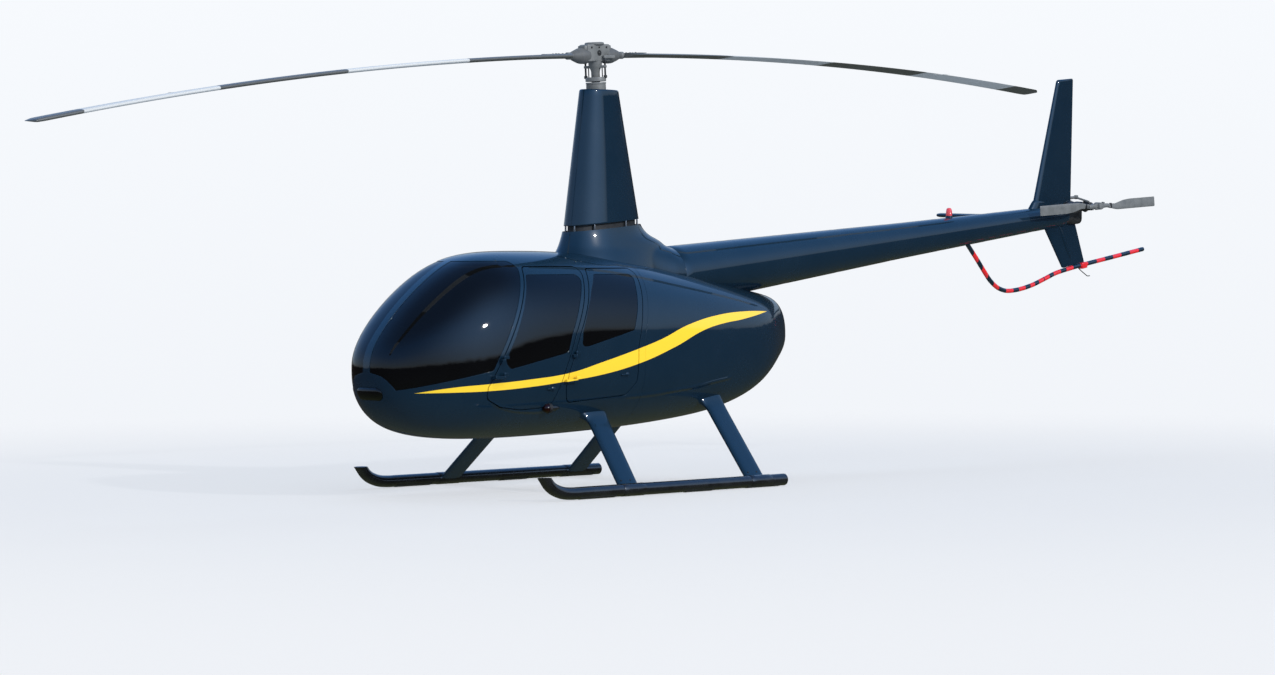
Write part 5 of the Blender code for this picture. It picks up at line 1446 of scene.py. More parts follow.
# %% Tail blades
# At reaches from the hub: chord ahead of the blade's line, chord behind it, and thickness
reaches = np.concatenate([np.linspace(0.1358, 0.228, 8), np.linspace(0.242, 0.342, 6),
                          np.linspace(0.38, 0.755, 10), [0.765, 0.771, 0.7745]])[:, None]
ahead = np.interp(reaches, [0.1358, 0.160, 0.215, 0.260, 0.768, 0.7745],
                  [0.022, 0.0245, 0.036, 0.0425, 0.0425, 0.040])
behind = np.interp(reaches, [0.1358, 0.228, 0.342, 0.420, 0.768, 0.7745],
                   [0.014, 0.012, 0.036, 0.0425, 0.0425, 0.040])
thick = np.interp(reaches, [0.1358, 0.205, 0.755, 0.771, 0.7745], [0.018, 0.0135, 0.0135, 0.009, 0.004])
chordwise, height = section(ahead + behind, thick, 48)
for number, side in ((1, 1), (2, -1)):
    blade = skinned(xyz(side * reaches, height, side * (ahead - chordwise)))
    collar = block((0.168 * side, 0.0, 0.004 * side), (0.010, 0.0105, 0.023), square=0.35)
    tail_piece(f"tail_rotor_blade_{number}", {"hub_grey": [blade], "dark_steel": [collar]}, f"tail_blade_{number}")

# %% [markdown]
# ## Tail guard
# A bent tube keeps people away from the tail rotor. It is painted in red and
# navy bands. The bands follow the station, so each ends in a clean ring.

# %% Guard paint
GUARD_START, GUARD_END = -6.6, -4.2
GUARD_BANDS = [-6.50, -6.38, -6.26, -6.145, -6.03, -5.92, -5.80, -5.70, -5.60, -5.51, -5.43, -5.34, -5.285,
               -5.215, -5.205, -5.145, -5.09, -5.025, -4.96, -4.88, -4.80, -4.71, -4.62, -4.55, -4.48, -4.41,
               -4.355, -4.30]
paint = finish("guard_paint", (0.780, 0.012, 0.018), (0.680, 0.014, 0.018), (0.25, 0.40), 12.0, 0.03,
               Coat_Weight=0.6, Coat_Roughness=0.08)
bands = [(0.0, (0.0, 0.0, 0.0))]
for number, x in enumerate(GUARD_BANDS):
    bands.append(((x - GUARD_START) / (GUARD_END - GUARD_START), (float((number + 1) % 2),) * 3))
share = paint.maths("DIVIDE", paint.maths("SUBTRACT", paint.axes()[0], GUARD_START + MAST_X),
                    GUARD_END - GUARD_START)
red = paint.colour_steps(share, bands, "CONSTANT")
paint.feed(paint.shader.inputs["Base Color"], paint.mix(red, NAVY, paint.colour))

# %% Tail guard
GUARD = [(-4.220, 1.833), (-4.250, 1.800), (-4.350, 1.695), (-4.450, 1.585), (-4.520, 1.515), (-4.600, 1.462),
         (-4.680, 1.435), (-4.760, 1.427), (-4.900, 1.440), (-5.070, 1.476), (-5.240, 1.530), (-5.380, 1.575),
         (-5.560, 1.612), (-5.760, 1.648), (-6.170, 1.714), (-6.500, 1.768), (-6.575, 1.780)]
GUARD_RADIUS = 0.0188
guard_path = smooth_path([(x, 0.0, z) for x, z in GUARD], 150)
clamp = block((-5.742, 0.0, 1.640), (0.036, 0.027, 0.027), ((0.986, 0, -0.165), (0, 1, 0), (0.165, 0, 0.986)),
              square=0.30)
make_piece("guard_tube", {"guard_paint": [pipe(guard_path, GUARD_RADIUS, 28, 0.004)], "guard_red": [clamp]},
           "tail_guard", slot="guard_red")

# %% [markdown]
# ## Lamps on the body
# A red flashing lamp stands on the tail cone, and each flank has a small
# navigation lamp in a faired housing.

# %% Flashing lamp
STROBE_X = -4.00
strobe_place = (STROBE_X, 0, float(sum(cone_at(STROBE_X))))
strobe_foot = turned([(0.0300, -0.010), (0.0300, 0.010), (0.0285, 0.013), (0.0260, 0.014)], strobe_place, sides=40)
strobe_lens = turned([(0.0255, 0.012), (0.0262, 0.020), (0.0255, 0.045), (0.0235, 0.064), (0.0180, 0.075),
                      (0.0090, 0.0795), (0.0000, 0.0800)], strobe_place, sides=40)
make_piece("strobe", {"red_lens": [strobe_lens], "navy_paint": [strobe_foot]}, "strobe_light", slot="red_lens")

# %% Navigation lamps
NAV_X, NAV_Z, NAV_RADIUS = 0.985, 0.634, 0.034
NAV_STAND = 0.012


def nav_lamp():
    """A dome of half an ellipse, a body shaped like a drop along the flank, and a dark ring between them."""
    y = half_width(NAV_X, NAV_Z) + NAV_STAND
    share = 0.5 - 0.5 * np.cos(np.linspace(0.02, np.pi - 0.02, 26))
    radius = np.sqrt(np.maximum(1 - (2 * share - 1) ** 2, 0.0004)) * (0.55 + 0.45 * share)
    path = xyz(NAV_X - 0.095 + 0.125 * share, y - 0.006, NAV_Z)
    drop = path[:, None] + radius[:, None, None] * ring_round(0.030 * ACROSS, 0.027 * UPRIGHT, 32)
    share = np.linspace(0, 1, 16)
    radius = np.sqrt(np.maximum(1 - share ** 2, 0.0004)) * NAV_RADIUS
    path = xyz(NAV_X + 0.026 + 0.040 * share, y, NAV_Z)
    dome = path[:, None] + radius[:, None, None] * ring_round(ACROSS, UPRIGHT, 32)
    collar = rod((NAV_X - 0.002, y, NAV_Z), (NAV_X + 0.027, y, NAV_Z), NAV_RADIUS + 0.001, NAV_RADIUS + 0.003,
                 32, 0.001)
    return skinned(dome), skinned(drop), collar


for side, colour in (("port", "red"), ("starboard", "green")):
    shown = nav_lamp() if side == "port" else [mirrored(sheet) for sheet in nav_lamp()]
    parts = {key: [sheet] for key, sheet in zip((f"deep_{colour}_lens", "skid_black", "rubber"), shown)}
    make_piece(f"nav_lamp_{side}", parts, f"nav_light_{side}", slot=f"{colour}_lens")

# %% [markdown]
# ## Landing gear
# Two black tubes rest on the ground. Their front ends turn up and are cut
# level. Four flat legs are bent tubes inside a thin fairing that flares into
# the belly. Hard steel wear strips, the shoes, are clamped under the tubes.

# %% Skid tubes
SKID_Y, SKID_Z = 1.030, 0.0475
SKID_RADIUS = 0.0444
SKID_TIP = 0.122
SKID_PATH = [(-0.962, 0.0), (-0.40, 0.0), (0.20, 0.0), (0.90, 0.0), (1.10, 0.0), (1.20, 0.0), (1.284, 0.0085),
             (1.358, 0.033), (1.401, 0.060), (1.431, 0.092), (1.443, 0.120), (1.446, 0.180)]
SHOES = [(-0.90, 0.36), (-0.20, 0.30), (0.78, 0.36)]


def skid_tube():
    """A tube whose front end turns up, cut level at the tip."""
    path = smooth_path([(x, SKID_Y, SKID_Z + rise) for x, rise in SKID_PATH], 160)
    along = unit(np.gradient(path, axis=0))
    ring = SKID_RADIUS * ring_round(ACROSS, np.cross(along, ACROSS), 36)
    rings = path[:, None] + ring
    cut_z = SKID_Z + SKID_TIP - 0.001
    last = int(np.flatnonzero(rings[:, :, 2].max(axis=1) < cut_z - 0.002)[-1])
    tip = rings[last] + ((cut_z - rings[last, :, 2]) / along[last, 2])[:, None] * along[last]
    centre = tip.mean(axis=0)
    lid, plug = centre + (tip - centre) * 0.94, centre + (tip - centre) * 0.80
    lid[:, 2], plug[:, 2] = cut_z + 0.0008, cut_z - 0.002
    end = [path[0] + (1 - shrink) * ring[0] + (shift, 0, 0)
           for shrink, shift in ((0.16, -0.0005), (0.06, 0.0), (0.0, 0.004))]
    return skinned(np.concatenate([end, rings[3:last + 1], [tip - 0.0025 * along[last], tip, lid, plug]]))


def shoe(back, length):
    """A wear strip under the tube: flat below, hollow above, with eased ends."""
    s = np.concatenate([[0.0, 0.004, 0.012], np.linspace(0.03, length - 0.03, 8),
                        [length - 0.012, length - 0.004, length]])[:, None]
    thick = np.interp(s, [0, 0.012, length - 0.012, length], [0.30, 1.0, 1.0, 0.30])[..., None]
    t = np.radians(np.linspace(-52, 52, 15))
    arc = np.stack([np.sin(t), -np.cos(t)], -1)
    outer, inner = arc * (SKID_RADIUS + 0.0028), arc * (SKID_RADIUS - 0.003)
    outer[:, 1] = np.maximum(outer[:, 1], -SKID_Z)
    low = inner + (outer - inner) * thick
    ring = np.concatenate([low, np.broadcast_to(inner[::-1], low.shape)], axis=1)
    return skinned(xyz(back + s, SKID_Y + ring[..., 0], SKID_Z + ring[..., 1]))


# %% Legs
# For each leg: its root on the belly, and its foot on the skid tube
LEGS = {"front": ((0.479, 0.528, 0.530), (0.607, 1.003, SKID_Z)),
        "rear": ((-0.787, 0.461, 0.600), (-0.694, 0.999, SKID_Z))}
LEG_CHORD, LEG_THICKNESS = 0.195, 0.032
# Rows of share from foot to root, shift ahead, and shares of chord and thickness
LEG_RINGS = [(-0.02, 0.0, 0.99, 1.25), (0.0, 0.0, 0.985, 1.10), (0.06, 0.0, 0.98, 1.0), (0.50, 0.0, 1.0, 1.0),
             (0.80, 0.0, 1.01, 1.0), (0.94, 0.0, 1.02, 1.04), (1.01, 0.008, 1.10, 1.5), (1.07, 0.028, 1.30, 2.4),
             (1.14, 0.060, 1.58, 3.3), (1.22, 0.095, 1.95, 4.2)]
FLATNESS = 0.6


def leg(root, foot):
    """A flat leg: each ring is a rounded box, |ahead|^p + |across|^p = 1, and the root flares into the belly."""
    way = np.subtract(root, foot)
    along = unit(way)
    across = unit((0.0, along[2], -along[1]))
    share, shift, chord, thickness = finer_rows(LEG_RINGS, 8).T[..., None]
    t = turn_angles(56, 0.5)
    ahead_by = LEG_CHORD / 2 * chord * signed(np.cos(t), FLATNESS) + shift
    out_by = LEG_THICKNESS / 2 * thickness * signed(np.sin(t), FLATNESS)
    return skinned(foot + share[..., None] * way + ahead_by[..., None] * AHEAD + out_by[..., None] * across)


def saddle(root, foot):
    """The welded collar where a leg meets its skid tube, and its two bolts."""
    path = xyz(foot[0] + np.linspace(-0.108, 0.108, 5), SKID_Y, SKID_Z)
    lean = unit((0.0, root[1] - foot[1], root[2] - foot[2]))
    out = np.cross(lean, AHEAD)
    places = [foot + shift * AHEAD + lean * (SKID_RADIUS + 0.030) + out * 0.0165 for shift in (-0.045, 0.045)]
    return pipe(path, SKID_RADIUS + 0.0022, 40, 0.0015), screw_heads(places, [out, out], 0.007, 0.004, 6)


saddles = {tag: saddle(*places) for tag, places in LEGS.items()}
make_pair("skid_tube_SIDE", {"skid_black": [skid_tube(), *(collar for collar, _ in saddles.values())],
                             "dark_steel": [shoe(*row) for row in SHOES]}, "skid_SIDE", sharp=32)
for tag, places in LEGS.items():
    make_pair(f"gear_leg_{tag}_SIDE", {"navy_paint": [leg(*places)], "dark_steel": [saddles[tag][1]]},
              f"leg_{tag}_SIDE")

# %% [markdown]
# ## Rotor head
# The hub is a block of steel between two ribbed rubber boots. Under it the
# swashplate has a part that stays still and a ring that turns, and two crossed
# rods carry the ring's tilt up to the blades. The whole head is built upright
# and then leans forward with the mast.

# %% Swashplate
HUB_Z = 3.24
DISC_TILT = math.radians(2.75)
RIG = Matrix.Translation((0, 0, HUB_Z)) @ Matrix.Rotation(DISC_TILT, 4, "Y")


def rig_piece(name, parts, node, body, slot, sharp=38.0):
    """A piece of the rotor head, built upright and leaned with the mast."""
    leaned = {key: [moved(sheet, RIG) for sheet in sheets] for key, sheets in parts.items()}
    make_piece(name, leaned, node, body, slot, sharp)


still_ring = turned([(0.0700, -0.268), (0.0745, -0.265), (0.0745, -0.2175), (0.0725, -0.2165), (0.0725, -0.2140),
                     (0.0765, -0.2130), (0.0770, -0.2040), (0.0755, -0.2008)], sides=72)
rig_piece("swashplate_body", {"hub_grey": [still_ring]}, "swashplate", "airframe", "dark_metal")

# %% Rotor head
BOOT = [(0.055, 0.085), (0.0600, 0.100), (0.0605, 0.145), (0.0560, 0.172), (0.0535, 0.178), (0.0450, 0.203),
        (0.0345, 0.229), (0.0305, 0.236), (0.0285, 0.241), (0.0265, 0.262), (0.0250, 0.266)]
BLOCK_FACE = 0.0515
# Bolts on flat black discs, which are painted shade standing in for the holes they sit in: the big one lets the
# rotor rock, the small ones hold the blades
BOLTS_ON_SHADE_DISCS = [(0.0, 0.018, 0.0215), (-0.075, 0.060, 0.0085), (0.0, 0.060, 0.0070), (0.075, 0.060, 0.0085)]
head_parts = [rod((0, 0, -0.1990), (0, 0, 0.060), 0.0328, sides=48, ease=0.002),
              turned([(0.0755, -0.1945), (0.0780, -0.192), (0.0780, -0.170), (0.0755, -0.1635),
                      (0.0690, -0.1625)], sides=72),
              turned([(0.0330, -0.128), (0.0345, -0.112), (0.0420, -0.094), (0.0500, -0.078), (0.0530, -0.040)],
                     sides=48),
              block((0, 0, 0.0200), (0.1145, 0.0520, 0.0650), square=0.14, rows=23, columns=56),
              block((0, 0, 0.0590), (0.1380, 0.0440, 0.0190), square=0.22, columns=40),
              turned([(0.0700, 0.080), (0.0735, 0.083), (0.0735, 0.092), (0.0680, 0.0990), (0.0560, 0.1005)],
                     sides=56),
              block((0, 0, -0.0840), (0.0880, 0.0190, 0.0100), ((0.447, -0.894, 0), (0.894, 0.447, 0), (0, 0, 1)))]
links, boots, holes_and_shade_discs = [], [], []
for side in (-1, 1):
    boots.append(turned(smooth_path(BOOT, 48), ORIGIN, (side, 0, 0), 56))
    foot, knee = np.array((side * 0.035, side * -0.070, 0.0)), np.array((side * 0.125, side * -0.040, 0.0))
    head_parts += [rod((side * 0.258, 0, 0), (side * 0.2845, 0, 0), 0.0275, None, 40, 0.002),
                   block(foot + (side * 0.044, 0, -0.012), (0.0560, 0.0115, 0.0120), square=0.30),
                   block(knee + (0, 0, -0.012), (0.0100, 0.0420, 0.0095), square=0.30)]
    # The rod with its two ball joints, and the thin guide beside it
    links += [rod(foot + (0, 0, -0.168), foot + (0, 0, -0.010), 0.0072, sides=20),
              rod(foot + (0, 0, -0.062), foot + (0, 0, -0.030), 0.0092, sides=20),
              rod(foot * 0.70 + (0, 0, -0.166), foot * 0.70 + (0, 0, -0.084), 0.0042, sides=16),
              block(foot + (0, 0, -0.160), (0.0120, 0.0110, 0.0120), square=0.5)]
    for x, z, radius in BOLTS_ON_SHADE_DISCS:
        place, way = (x, side * BLOCK_FACE, z), (0, side, 0)
        # Each disc stands just proud of the block's face in the rubber finish. Its black is painted shade for the
        # bolt's hole, which isn't cut
        holes_and_shade_discs.append(turned([(radius, -0.001), (radius, 0.0012), (radius * 0.9, 0.0014)], place, way))
        links.append(turned([(radius * 0.42, 0.0), (radius * 0.42, 0.0040), (radius * 0.34, 0.0048)], place, way,
                            # On the hub the rubber finish is only the black discs of painted hole shade
                            sides=6))
rig_piece("rotor_hub", {"hub_grey": head_parts, "boot_grey": boots, "dark_steel": links, "rubber": holes_and_shade_discs},
          "rotor_head", "main_rotor", "dark_metal", sharp=34)

# %% [markdown]
# ## Main blades
# The two blades droop by their own weight when the rotor stands still. Each is
# a wing section carried along that curve, with a slight twist towards the tip,
# a thick root fitting and a swept tip cap.

# %% Main blades
ROTOR_RADIUS, ROTOR_CHORD = 5.03, 0.254
BLADE_DROOP = 0.372
BLADE_ROOT = 0.285
TAB_REACH = 3.70


def droop(reach):
    """Height of the blade's line below the hub: -droop (reach / radius)^2."""
    return -BLADE_DROOP * (reach / ROTOR_RADIUS) ** 2


def main_blade():
    """Wing sections along the drooping line, each turned by the twist."""
    reaches = np.concatenate([[BLADE_ROOT + 0.0003, 0.292, 0.31, 0.34, 0.38, 0.43, 0.50, 0.58],
                              np.linspace(0.66, 4.90, 62),
                              [4.915, 4.93, 4.96, 4.985, 5.005, 5.018, 5.0265, 5.0290]])[:, None]
    chord = ROTOR_CHORD * np.interp(reaches, [4.90, 4.93, 5.010, 5.025, 5.0290], [1.0, 0.94, 0.66, 0.60, 0.56])
    thick = np.interp(reaches, [0.285, 0.38, 0.60, 4.95, 5.010, 5.0265, 5.0290],
                      [0.036, 0.034, 0.030, 0.030, 0.024, 0.014, 0.006])
    twist = np.radians(np.interp(reaches, [0.285, 0.60, ROTOR_RADIUS], [0.0, 1.2, -1.6]))
    behind, h = section(chord, thick, 72)
    y = ROTOR_CHORD * 0.30 - (ROTOR_CHORD - chord) * 0.08 - behind
    y, h = y * np.cos(twist) - h * np.sin(twist), y * np.sin(twist) + h * np.cos(twist)
    return skinned(xyz(reaches, y, droop(reaches) + h))


doubler = plate([(0.300, -0.060), (0.420, -0.052), (0.520, -0.020), (0.520, 0.010), (0.420, 0.040),
                 (0.300, 0.046)], 0.0135, 0.0175, PLAN_VIEW, ease=0.001)
under = (doubler[0] * (1, 1, -1), [part[:, ::-1] for part in doubler[1]])
bolts = screw_heads([(0.325, 0.0, 0.0175), (0.365, 0.0, 0.0175), (0.405, -0.020, 0.0175), (0.405, 0.015, 0.0175)],
                    [UPRIGHT] * 4, 0.008, 0.005, 6)
tab = plate([(TAB_REACH - 0.09, -0.196), (TAB_REACH + 0.09, -0.196), (TAB_REACH + 0.09, -0.168),
             (TAB_REACH - 0.09, -0.168)], droop(TAB_REACH) - 0.001, droop(TAB_REACH) + 0.001, PLAN_VIEW,
            ease=0.0004)
blade = {"blade_paint": [main_blade(), doubler, under, tab], "dark_steel": [bolts]}
for number, side in ((1, 1), (2, -1)):
    own = {key: [(points * (side, side, 1), faces) for points, faces in sheets] for key, sheets in blade.items()}
    rig_piece(f"rotor_blade_{number}", own, f"main_blade_{number}", "main_rotor", "grey_paint")

# %% [markdown]
# ## Cabin floor, rear wall and engine
# These CAD pieces have the right shape, so they stay and only get a finish.

# %% Carried-over pieces
for name, finish_name in (("cabin_floor", "carpet"), ("bulkhead", "lining"), ("engine_block", "engine_cast")):
    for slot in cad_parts[name].material_slots:
        slot.material = FINISHES[finish_name]
    print(name, "keeps its shape and gets", finish_name)

# %% [markdown]
# ## Console and stick
# The instrument panel is a crowned board on a pedestal, under a glare shield.
# Dials are shallow turned bezels with a dark face and a white needle. A single
# centre stick carries a cross bar, with a grip for each pilot.

# %% Console
CONSOLE = [(1.62, 0.5905), (1.98, 0.5905), (1.98, 0.80), (1.93, 1.10), (1.74, 1.16), (1.69, 0.92), (1.62, 0.84)]
SHIELD = [(1.665, 1.168, 0.006), (1.70, 1.182, 0.02), (1.93, 1.124, 0.02), (1.93, 1.112, 0.004),
          (1.70, 1.166, 0.01)]
PANEL_FOOT, PANEL_HEAD = np.array((1.69, 0.0, 0.92)), np.array((1.74, 0.0, 1.16))
PANEL_UP = unit(PANEL_HEAD - PANEL_FOOT)
PANEL_OUT = np.cross(PANEL_UP, ACROSS)
# Rows of place across, place up the panel, and radius
DIALS = [(-0.100, 0.185, 0.038), (0.0, 0.190, 0.038), (0.100, 0.185, 0.038), (-0.100, 0.100, 0.038),
         (0.0, 0.105, 0.038), (0.100, 0.100, 0.038), *((0.040 * k, 0.040, 0.014) for k in range(-3, 4))]
NEEDLE_HEIGHT = 0.0045
box = plate(divided(rounded([(x, z, 0.02) for x, z in CONSOLE], 5), 0.04), -0.158, 0.158, SIDE_VIEW, 0.008)
shield = plate(divided(rounded(SHIELD, 4), 0.03), -0.166, 0.166, SIDE_VIEW, 0.003)
bezels, needles = [], []
for number, (y, up_by, radius) in enumerate(DIALS):
    centre = PANEL_FOOT + y * ACROSS + PANEL_UP * up_by
    bezel = [(radius - 0.002, -0.002), (radius, 0.0), (radius, 0.006), (radius - 0.004, 0.008),
             (radius * 0.84, 0.004), (radius * 0.82, 0.003), (0.0, 0.003)]
    bezels.append(turned(bezel, centre, PANEL_OUT, 28))
    way = math.cos(0.9 * number) * PANEL_UP + math.sin(0.9 * number) * ACROSS
    pin = centre + PANEL_OUT * NEEDLE_HEIGHT
    needles.append(rod(pin, pin + way * radius * 0.62, 0.0012, 0.0005, 6, 0.0))
radios = [block((1.655, 0.0, z), (0.012, 0.080, 0.016), ((0.96, 0, -0.28), (0, 1, 0), (0.28, 0, 0.96)), 0.2)
          for z in (0.865, 0.900)]
knobs = [rod((1.648, y, 0.866), (1.630, y, 0.860), 0.006, 0.005, 16) for y in (-0.065, -0.045, 0.045, 0.065)]
make_piece("console", {"lining": [box], "panel_black": [*bezels, *radios, *knobs], "dial_white": needles,
                       "leather": [shield]}, "instrument_console", slot="panel_black")

# %% Centre stick
stick_path = smooth_path([(1.46, 0, 0.5905), (1.46, 0, 0.72), (1.44, 0, 0.90), (1.40, 0, 1.10)], 40)
stick = [pipe(stick_path, 0.0138, 24), rod((1.40, -0.268, 1.10), (1.40, 0.268, 1.10), 0.0108, sides=20),
         block((1.40, 0, 1.10), (0.020, 0.030, 0.020), square=0.5)]
folds = np.linspace(0, 1, 40)
gaiter = np.stack([0.060 - 0.042 * folds + 0.003 * np.sin(2 * np.pi * 5 * folds), 0.092 * folds], -1)
soft, buttons = [turned(gaiter, (1.46, 0, 0.5925), sides=36)], []
share = np.linspace(0, 1, 30)
for side in (-1, 1):
    low, high = np.array((1.405, side * 0.26, 1.012)), np.array((1.38, side * 0.26, 1.158))
    waves = 0.0158 + 0.0010 * np.cos(2 * np.pi * 4 * share) - 0.001 * share
    soft.append(pipe(low + share[:, None] * (high - low), waves, 24, 0.004))
    buttons.append(rod(high + (0, 0, -0.012), high + (-0.014, 0, -0.006), 0.0045, sides=12))
make_piece("centre_stick", {"dark_steel": stick, "rubber": soft, "guard_red": buttons}, "cyclic_stick",
           slot="panel_black")

# %% [markdown]
# ## Seats
# Each seat is a bottom cushion on its box and a leaning back, covered in dark
# leather over foam. A cushion starts as a slightly small rounded form with
# sewn channels, and a short cloth simulation blows it up, so its sides pull in
# between the corners. A flat lap belt lies on it.

# %% Blown pads
SWELL = 0.012
SWELL_CAP = 0.020
PAD_CUBE = 0.009
CHANNEL_WIDTH, CHANNEL_DEPTH = 0.010, 0.010
CLOTH = {"quality": 4, "mass": 0.3, "tension_stiffness": 25, "compression_stiffness": 25, "bending_stiffness": 4,
         "use_pressure": True, "uniform_pressure_force": 4}
CLOTH_FRAMES = 12


def pad_block(width, length, depth, channels):
    """A flat pad centred on the origin: thickness along z, with channels across its length pressed in."""
    half = ((length - SWELL) / 2, (width - SWELL) / 2, (depth - SWELL) / 2)
    points, faces = block(ORIGIN, half, square=0.32, rows=31, columns=96)
    for place in channels:
        near = np.exp(-((points[:, 0] - place * 2 * half[0]) / CHANNEL_WIDTH) ** 2)
        points[:, 2] -= np.where(points[:, 2] > 0, near, 0) * CHANNEL_DEPTH
    return points, faces


def blown(sheet, half):
    """The pad after a few frames of cloth pressure, with no point moved past the cap, scaled to its half sizes."""
    obj = loose_object([sheet])
    modify(obj, "REMESH", mode="VOXEL", voxel_size=PAD_CUBE)
    start = applied(obj)[0]
    cloth = modify(obj, "CLOTH")
    for key, value in CLOTH.items():
        setattr(cloth.settings, key, value)
    cloth.settings.effector_weights.gravity = 0.0
    for number in range(1, CLOTH_FRAMES + 1):
        scene.frame_set(number)
    change = applied(obj)[0] - start
    size = np.linalg.norm(change, axis=1, keepdims=True)
    points = start + change * np.minimum(1, SWELL_CAP / np.maximum(size, 1e-9))
    obj.data.vertices.foreach_set("co", points.astype(np.float32).ravel())
    scene.frame_set(1)
    modify(obj, "SUBSURF", levels=1, render_levels=1)
    points, faces = applied(obj)
    bpy.data.objects.remove(obj)
    middle, grown = (points.max(0) + points.min(0)) / 2, (points.max(0) - points.min(0)) / 2
    return (points - middle) * (half / grown), faces


# %% Seat pads
# Front and top of the seat box, and the stations of the back rest's foot and head
SEAT_BOXES = {"front": (1.350, 0.790, 0.920, 0.800), "rear": (0.640, 0.800, 0.205, 0.045)}
CUSHION, BACK_DEPTH, BACK_HEIGHT = 0.095, 0.092, 0.620
SIDE_GAP = 0.002


def seat_pads(row, low_y, high_y, divisions):
    """A bottom cushion and a back for one seat row, side by side in as many places as divisions."""
    front, top, foot, head = SEAT_BOXES[row]
    lean = math.atan2(foot - head, BACK_HEIGHT)
    width = (high_y - low_y) / divisions
    length = front + 0.010 - (foot + 0.045)
    bottom = blown(pad_block(width, length, CUSHION, (-0.24, -0.02, 0.20)),
                   (length / 2, width / 2 - SIDE_GAP, CUSHION / 2))
    rest = blown(pad_block(width, BACK_HEIGHT, BACK_DEPTH, (-0.25, -0.05, 0.15)),
                 (BACK_HEIGHT / 2 - 0.006, width / 2 - SIDE_GAP, BACK_DEPTH / 2))
    up_way = Vector((-math.sin(lean), 0.0, math.cos(lean)))
    out_way = Vector((math.cos(lean), 0.0, math.sin(lean)))
    lean_turn = Matrix((up_way, (0.0, -1.0, 0.0), out_way)).transposed().to_4x4()
    parts = []
    for number in range(divisions):
        y = low_y + width * (number + 0.5)
        middle = Vector((foot, y, top)) + up_way * (BACK_HEIGHT / 2 + 0.004) + out_way * 0.050
        parts.append(moved(bottom, Matrix.Translation((foot + 0.045 + length / 2, y, top + CUSHION / 2))))
        parts.append(moved(rest, Matrix.Translation(middle) @ lean_turn))
    return parts


for name, row, low_y, high_y, divisions in (("front_seat_port", "front", 0.045, 0.515, 1),
                                            ("front_seat_starboard", "front", -0.515, -0.045, 1),
                                            ("rear_seat", "rear", -0.515, 0.515, 2)):
    pads = {"leather": seat_pads(row, low_y, high_y, divisions)}
    seat = make_piece(f"{name}_pads", pads, name, slot="upholstery", sharp=60)

# %% Lap belts
BELT_WIDTH, BELT_HALF, BELT_RISE = 0.045, 0.0011, 0.012


def belt(x_start, x_end, y, z):
    """A flat lap belt over the cushion: a thin strip along a curve that rises over the pad's crown."""
    t = np.linspace(0, 1, 40)
    path = xyz(x_start + (x_end - x_start) * t, y, z + BELT_RISE * np.sin(np.pi * t))
    s = turn_angles(16)
    return skinned(path[:, None] + xyz(0.0, BELT_WIDTH / 2 * signed(np.cos(s), 0.3), BELT_HALF * np.sin(s)))


belts, buckles = [], []
for row, ys in (("front", (-0.28, 0.28)), ("rear", (-0.26, 0.26))):
    _, top, foot, _ = SEAT_BOXES[row]
    for y in ys:
        belts += [belt(foot + 0.10, foot + 0.30, y + shift, top + CUSHION + 0.001) for shift in (-0.10, 0.10)]
        buckles.append(block((foot + 0.31, y, top + CUSHION + 0.014), (0.030, 0.022, 0.007), square=0.3))
make_piece("lap_belts", {"webbing": belts, "bright_steel": buckles}, slot="upholstery")

# %% [markdown]
# ## Light
# The sky gives most of the light. Paint and glass mirror what is round the
# machine, so a reflected ray meets dark land with low hills, and a sky that is
# brightest near a low sun to port. Any other ray meets an even blue-white sky,
# and a camera ray the plain pale backdrop. Two large soft lamps and the sun
# itself give the form and its soft shadows.

# %% World
SUN_WAY = Vector((-0.1643, 0.885, 0.4356))
SUN_GLOW = (0.50, 0.85, 1.40)
OPEN_SKY = (0.60, 0.71, 0.86)
BACKDROP = [(0.44, (0.860, 0.885, 0.930)), (0.54, (0.930, 0.955, 0.990))]
# Rows of height above the land, from straight down at -1 to straight up at 1, and colour
SURROUND = [(-1.00, (0.120, 0.135, 0.060)), (-0.60, (0.060, 0.068, 0.036)), (-0.15, (0.040, 0.036, 0.030)),
            (0.000, (0.030, 0.024, 0.024)), (0.022, (0.380, 0.420, 0.450)), (0.060, (0.400, 0.520, 0.660)),
            (0.200, (0.310, 0.480, 0.780)), (0.400, (0.160, 0.360, 0.780)), (0.620, (0.095, 0.280, 0.700)),
            (0.850, (0.055, 0.145, 0.370)), (1.00, (0.045, 0.120, 0.300))]
world = bpy.data.worlds.new("studio")
scene.world = world
world.use_nodes = True
world.node_tree.nodes.clear()
sky = Graph(world.node_tree)
direction = sky.add("TexCoord").outputs["Generated"]
x, _, z = sky.axes(direction)
hills = sky.add("TexNoise", Vector=direction, Scale=12.0, Detail=4.0).outputs[0]
land = sky.maths("ADD", sky.ramp(x, -0.75, -0.30, 0.16, 0.0), sky.maths("MULTIPLY_ADD", hills, 0.06, -0.03))
above_land = sky.maths("SUBTRACT", z, land)
surround = sky.colour_steps(sky.maths("MULTIPLY_ADD", above_land, 0.5, 0.5),
                            [((height + 1) / 2, colour) for height, colour in SURROUND])
near_sun = sky.add("VectorMath", direction, SUN_WAY, operation="DOT_PRODUCT").outputs["Value"]
glow = sky.maths("MULTIPLY", sky.maths("POWER", sky.maths("MAXIMUM", near_sun, 0.0), 9.0),
                 sky.ramp(above_land, 0.0, 0.05))
mirrored_world = sky.mix(glow, surround, SUN_GLOW, blend_type="ADD")
backdrop = sky.colour_steps(sky.maths("MULTIPLY", sky.maths("ADD", z, 1.0), 0.5), BACKDROP)
rays = sky.add("LightPath").outputs
lit = sky.mix(rays["Is Glossy Ray"], OPEN_SKY, mirrored_world)
background = sky.add("Background", sky.mix(rays["Is Camera Ray"], lit, backdrop), 1.0)
sky.add("OutputWorld", background.outputs[0])
scene.view_settings.view_transform = "Standard"
print("world nodes", len(world.node_tree.nodes))


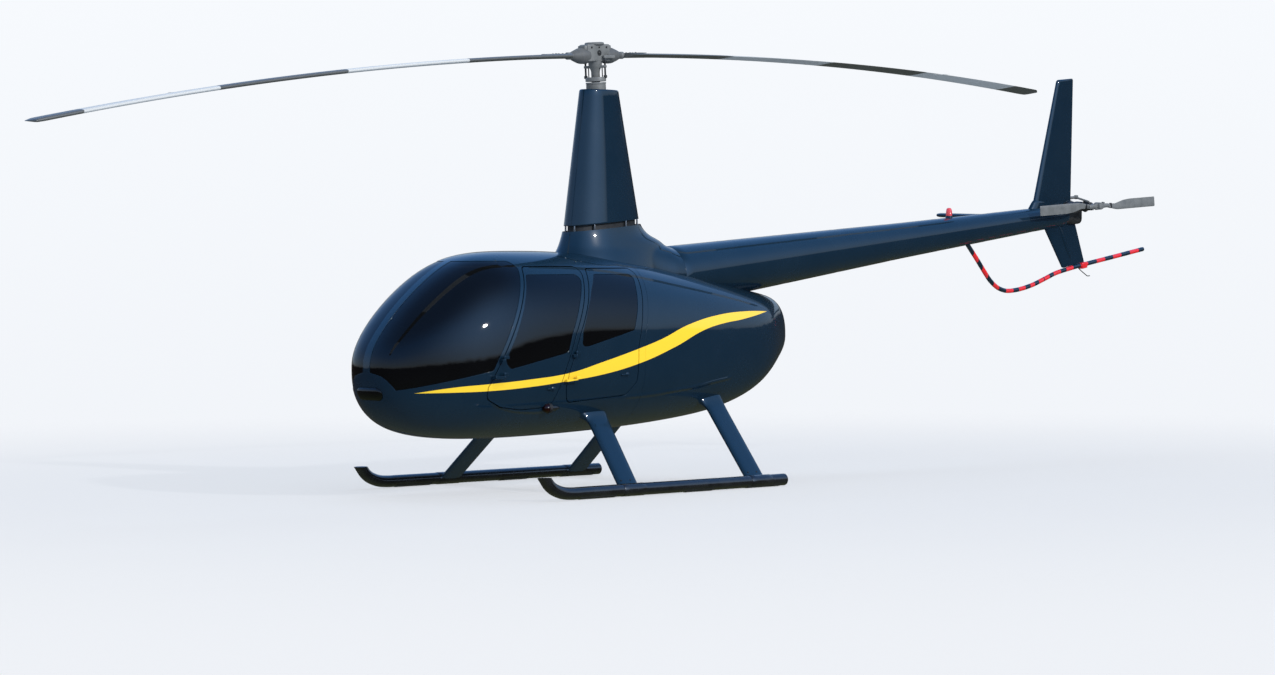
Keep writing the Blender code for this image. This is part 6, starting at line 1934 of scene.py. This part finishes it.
# %% Lamps of the studio
def lamp_object(name, data, place, way):
    """A lamp that shines along a direction."""
    lamp = bpy.data.objects.new(name, data)
    lamp.matrix_world = Matrix.Translation(place) @ way.to_track_quat("-Z", "Y").to_matrix().to_4x4()
    scene.collection.objects.link(lamp)
    return lamp


# Rows of name, place, place that it faces, size and colour
SOFT_LAMPS = [("key", (5.0, 7.0, 9.0), (0.0, 0.0, 1.2), (5.0, 3.0), (1.0, 0.97, 0.92)),
              ("roof", (0.0, -3.0, 9.5), (0.0, 0.0, 1.5), (10.0, 2.5), (0.85, 0.93, 1.0))]
for name, place, target, size, colour in SOFT_LAMPS:
    data = bpy.data.lights.new(name, "AREA")
    data.shape = "RECTANGLE"
    data.size, data.size_y = size
    data.energy = 300
    data.color = colour
    lamp_object(name, data, place, Vector(target) - Vector(place)).visible_glossy = False
sun = bpy.data.lights.new("sun", "SUN")
sun.energy = 2.0
sun.angle = math.radians(2.0)
sun.color = (1.0, 0.96, 0.90)
lamp_object("sun", sun, (0.0, 0.0, 0.0), -SUN_WAY)

# %% [markdown]
# ## Floor
# A pale round floor under the machine takes a faint shadow and fades out into
# the backdrop. It isn't seen in reflections, where the dark land belongs.

# %% Floor
FLOOR_RADIUS, FLOOR_Z = 14.0, -0.002
FLOOR_SHARE = 0.34
floor_t = turn_angles(96)
radii = np.linspace(0.0, FLOOR_RADIUS, 12)[1:, None]
rings = xyz(radii * np.cos(floor_t), radii * np.sin(floor_t), FLOOR_Z)
k = np.arange(96)
centre_fan = np.stack([0 * k, 1 + k, 1 + (k + 1) % 96], -1)
floor_mesh = bpy.data.meshes.new("floor")
floor_mesh.from_pydata([(0.0, 0.0, FLOOR_Z), *rings.reshape(-1, 3).tolist()], [],
                       (grid_faces(11, 96)[:, ::-1] + 1).tolist() + centre_fan.tolist())
floor = bpy.data.objects.new("floor", floor_mesh)
scene.collection.objects.link(floor)
paint = finish("pale_floor", (0.480, 0.490, 0.520), (0.460, 0.470, 0.500), (0.9, 0.9), 0.6)
away = paint.add("VectorMath", paint.place(), operation="LENGTH").outputs["Value"]
paint.feed(paint.shader.inputs["Alpha"], paint.ramp(away, 2.0, FLOOR_RADIUS - 1.0, FLOOR_SHARE, 0.0))
floor_mesh.materials.append(FINISHES["pale_floor"])
floor.visible_glossy = False
floor.visible_diffuse = False
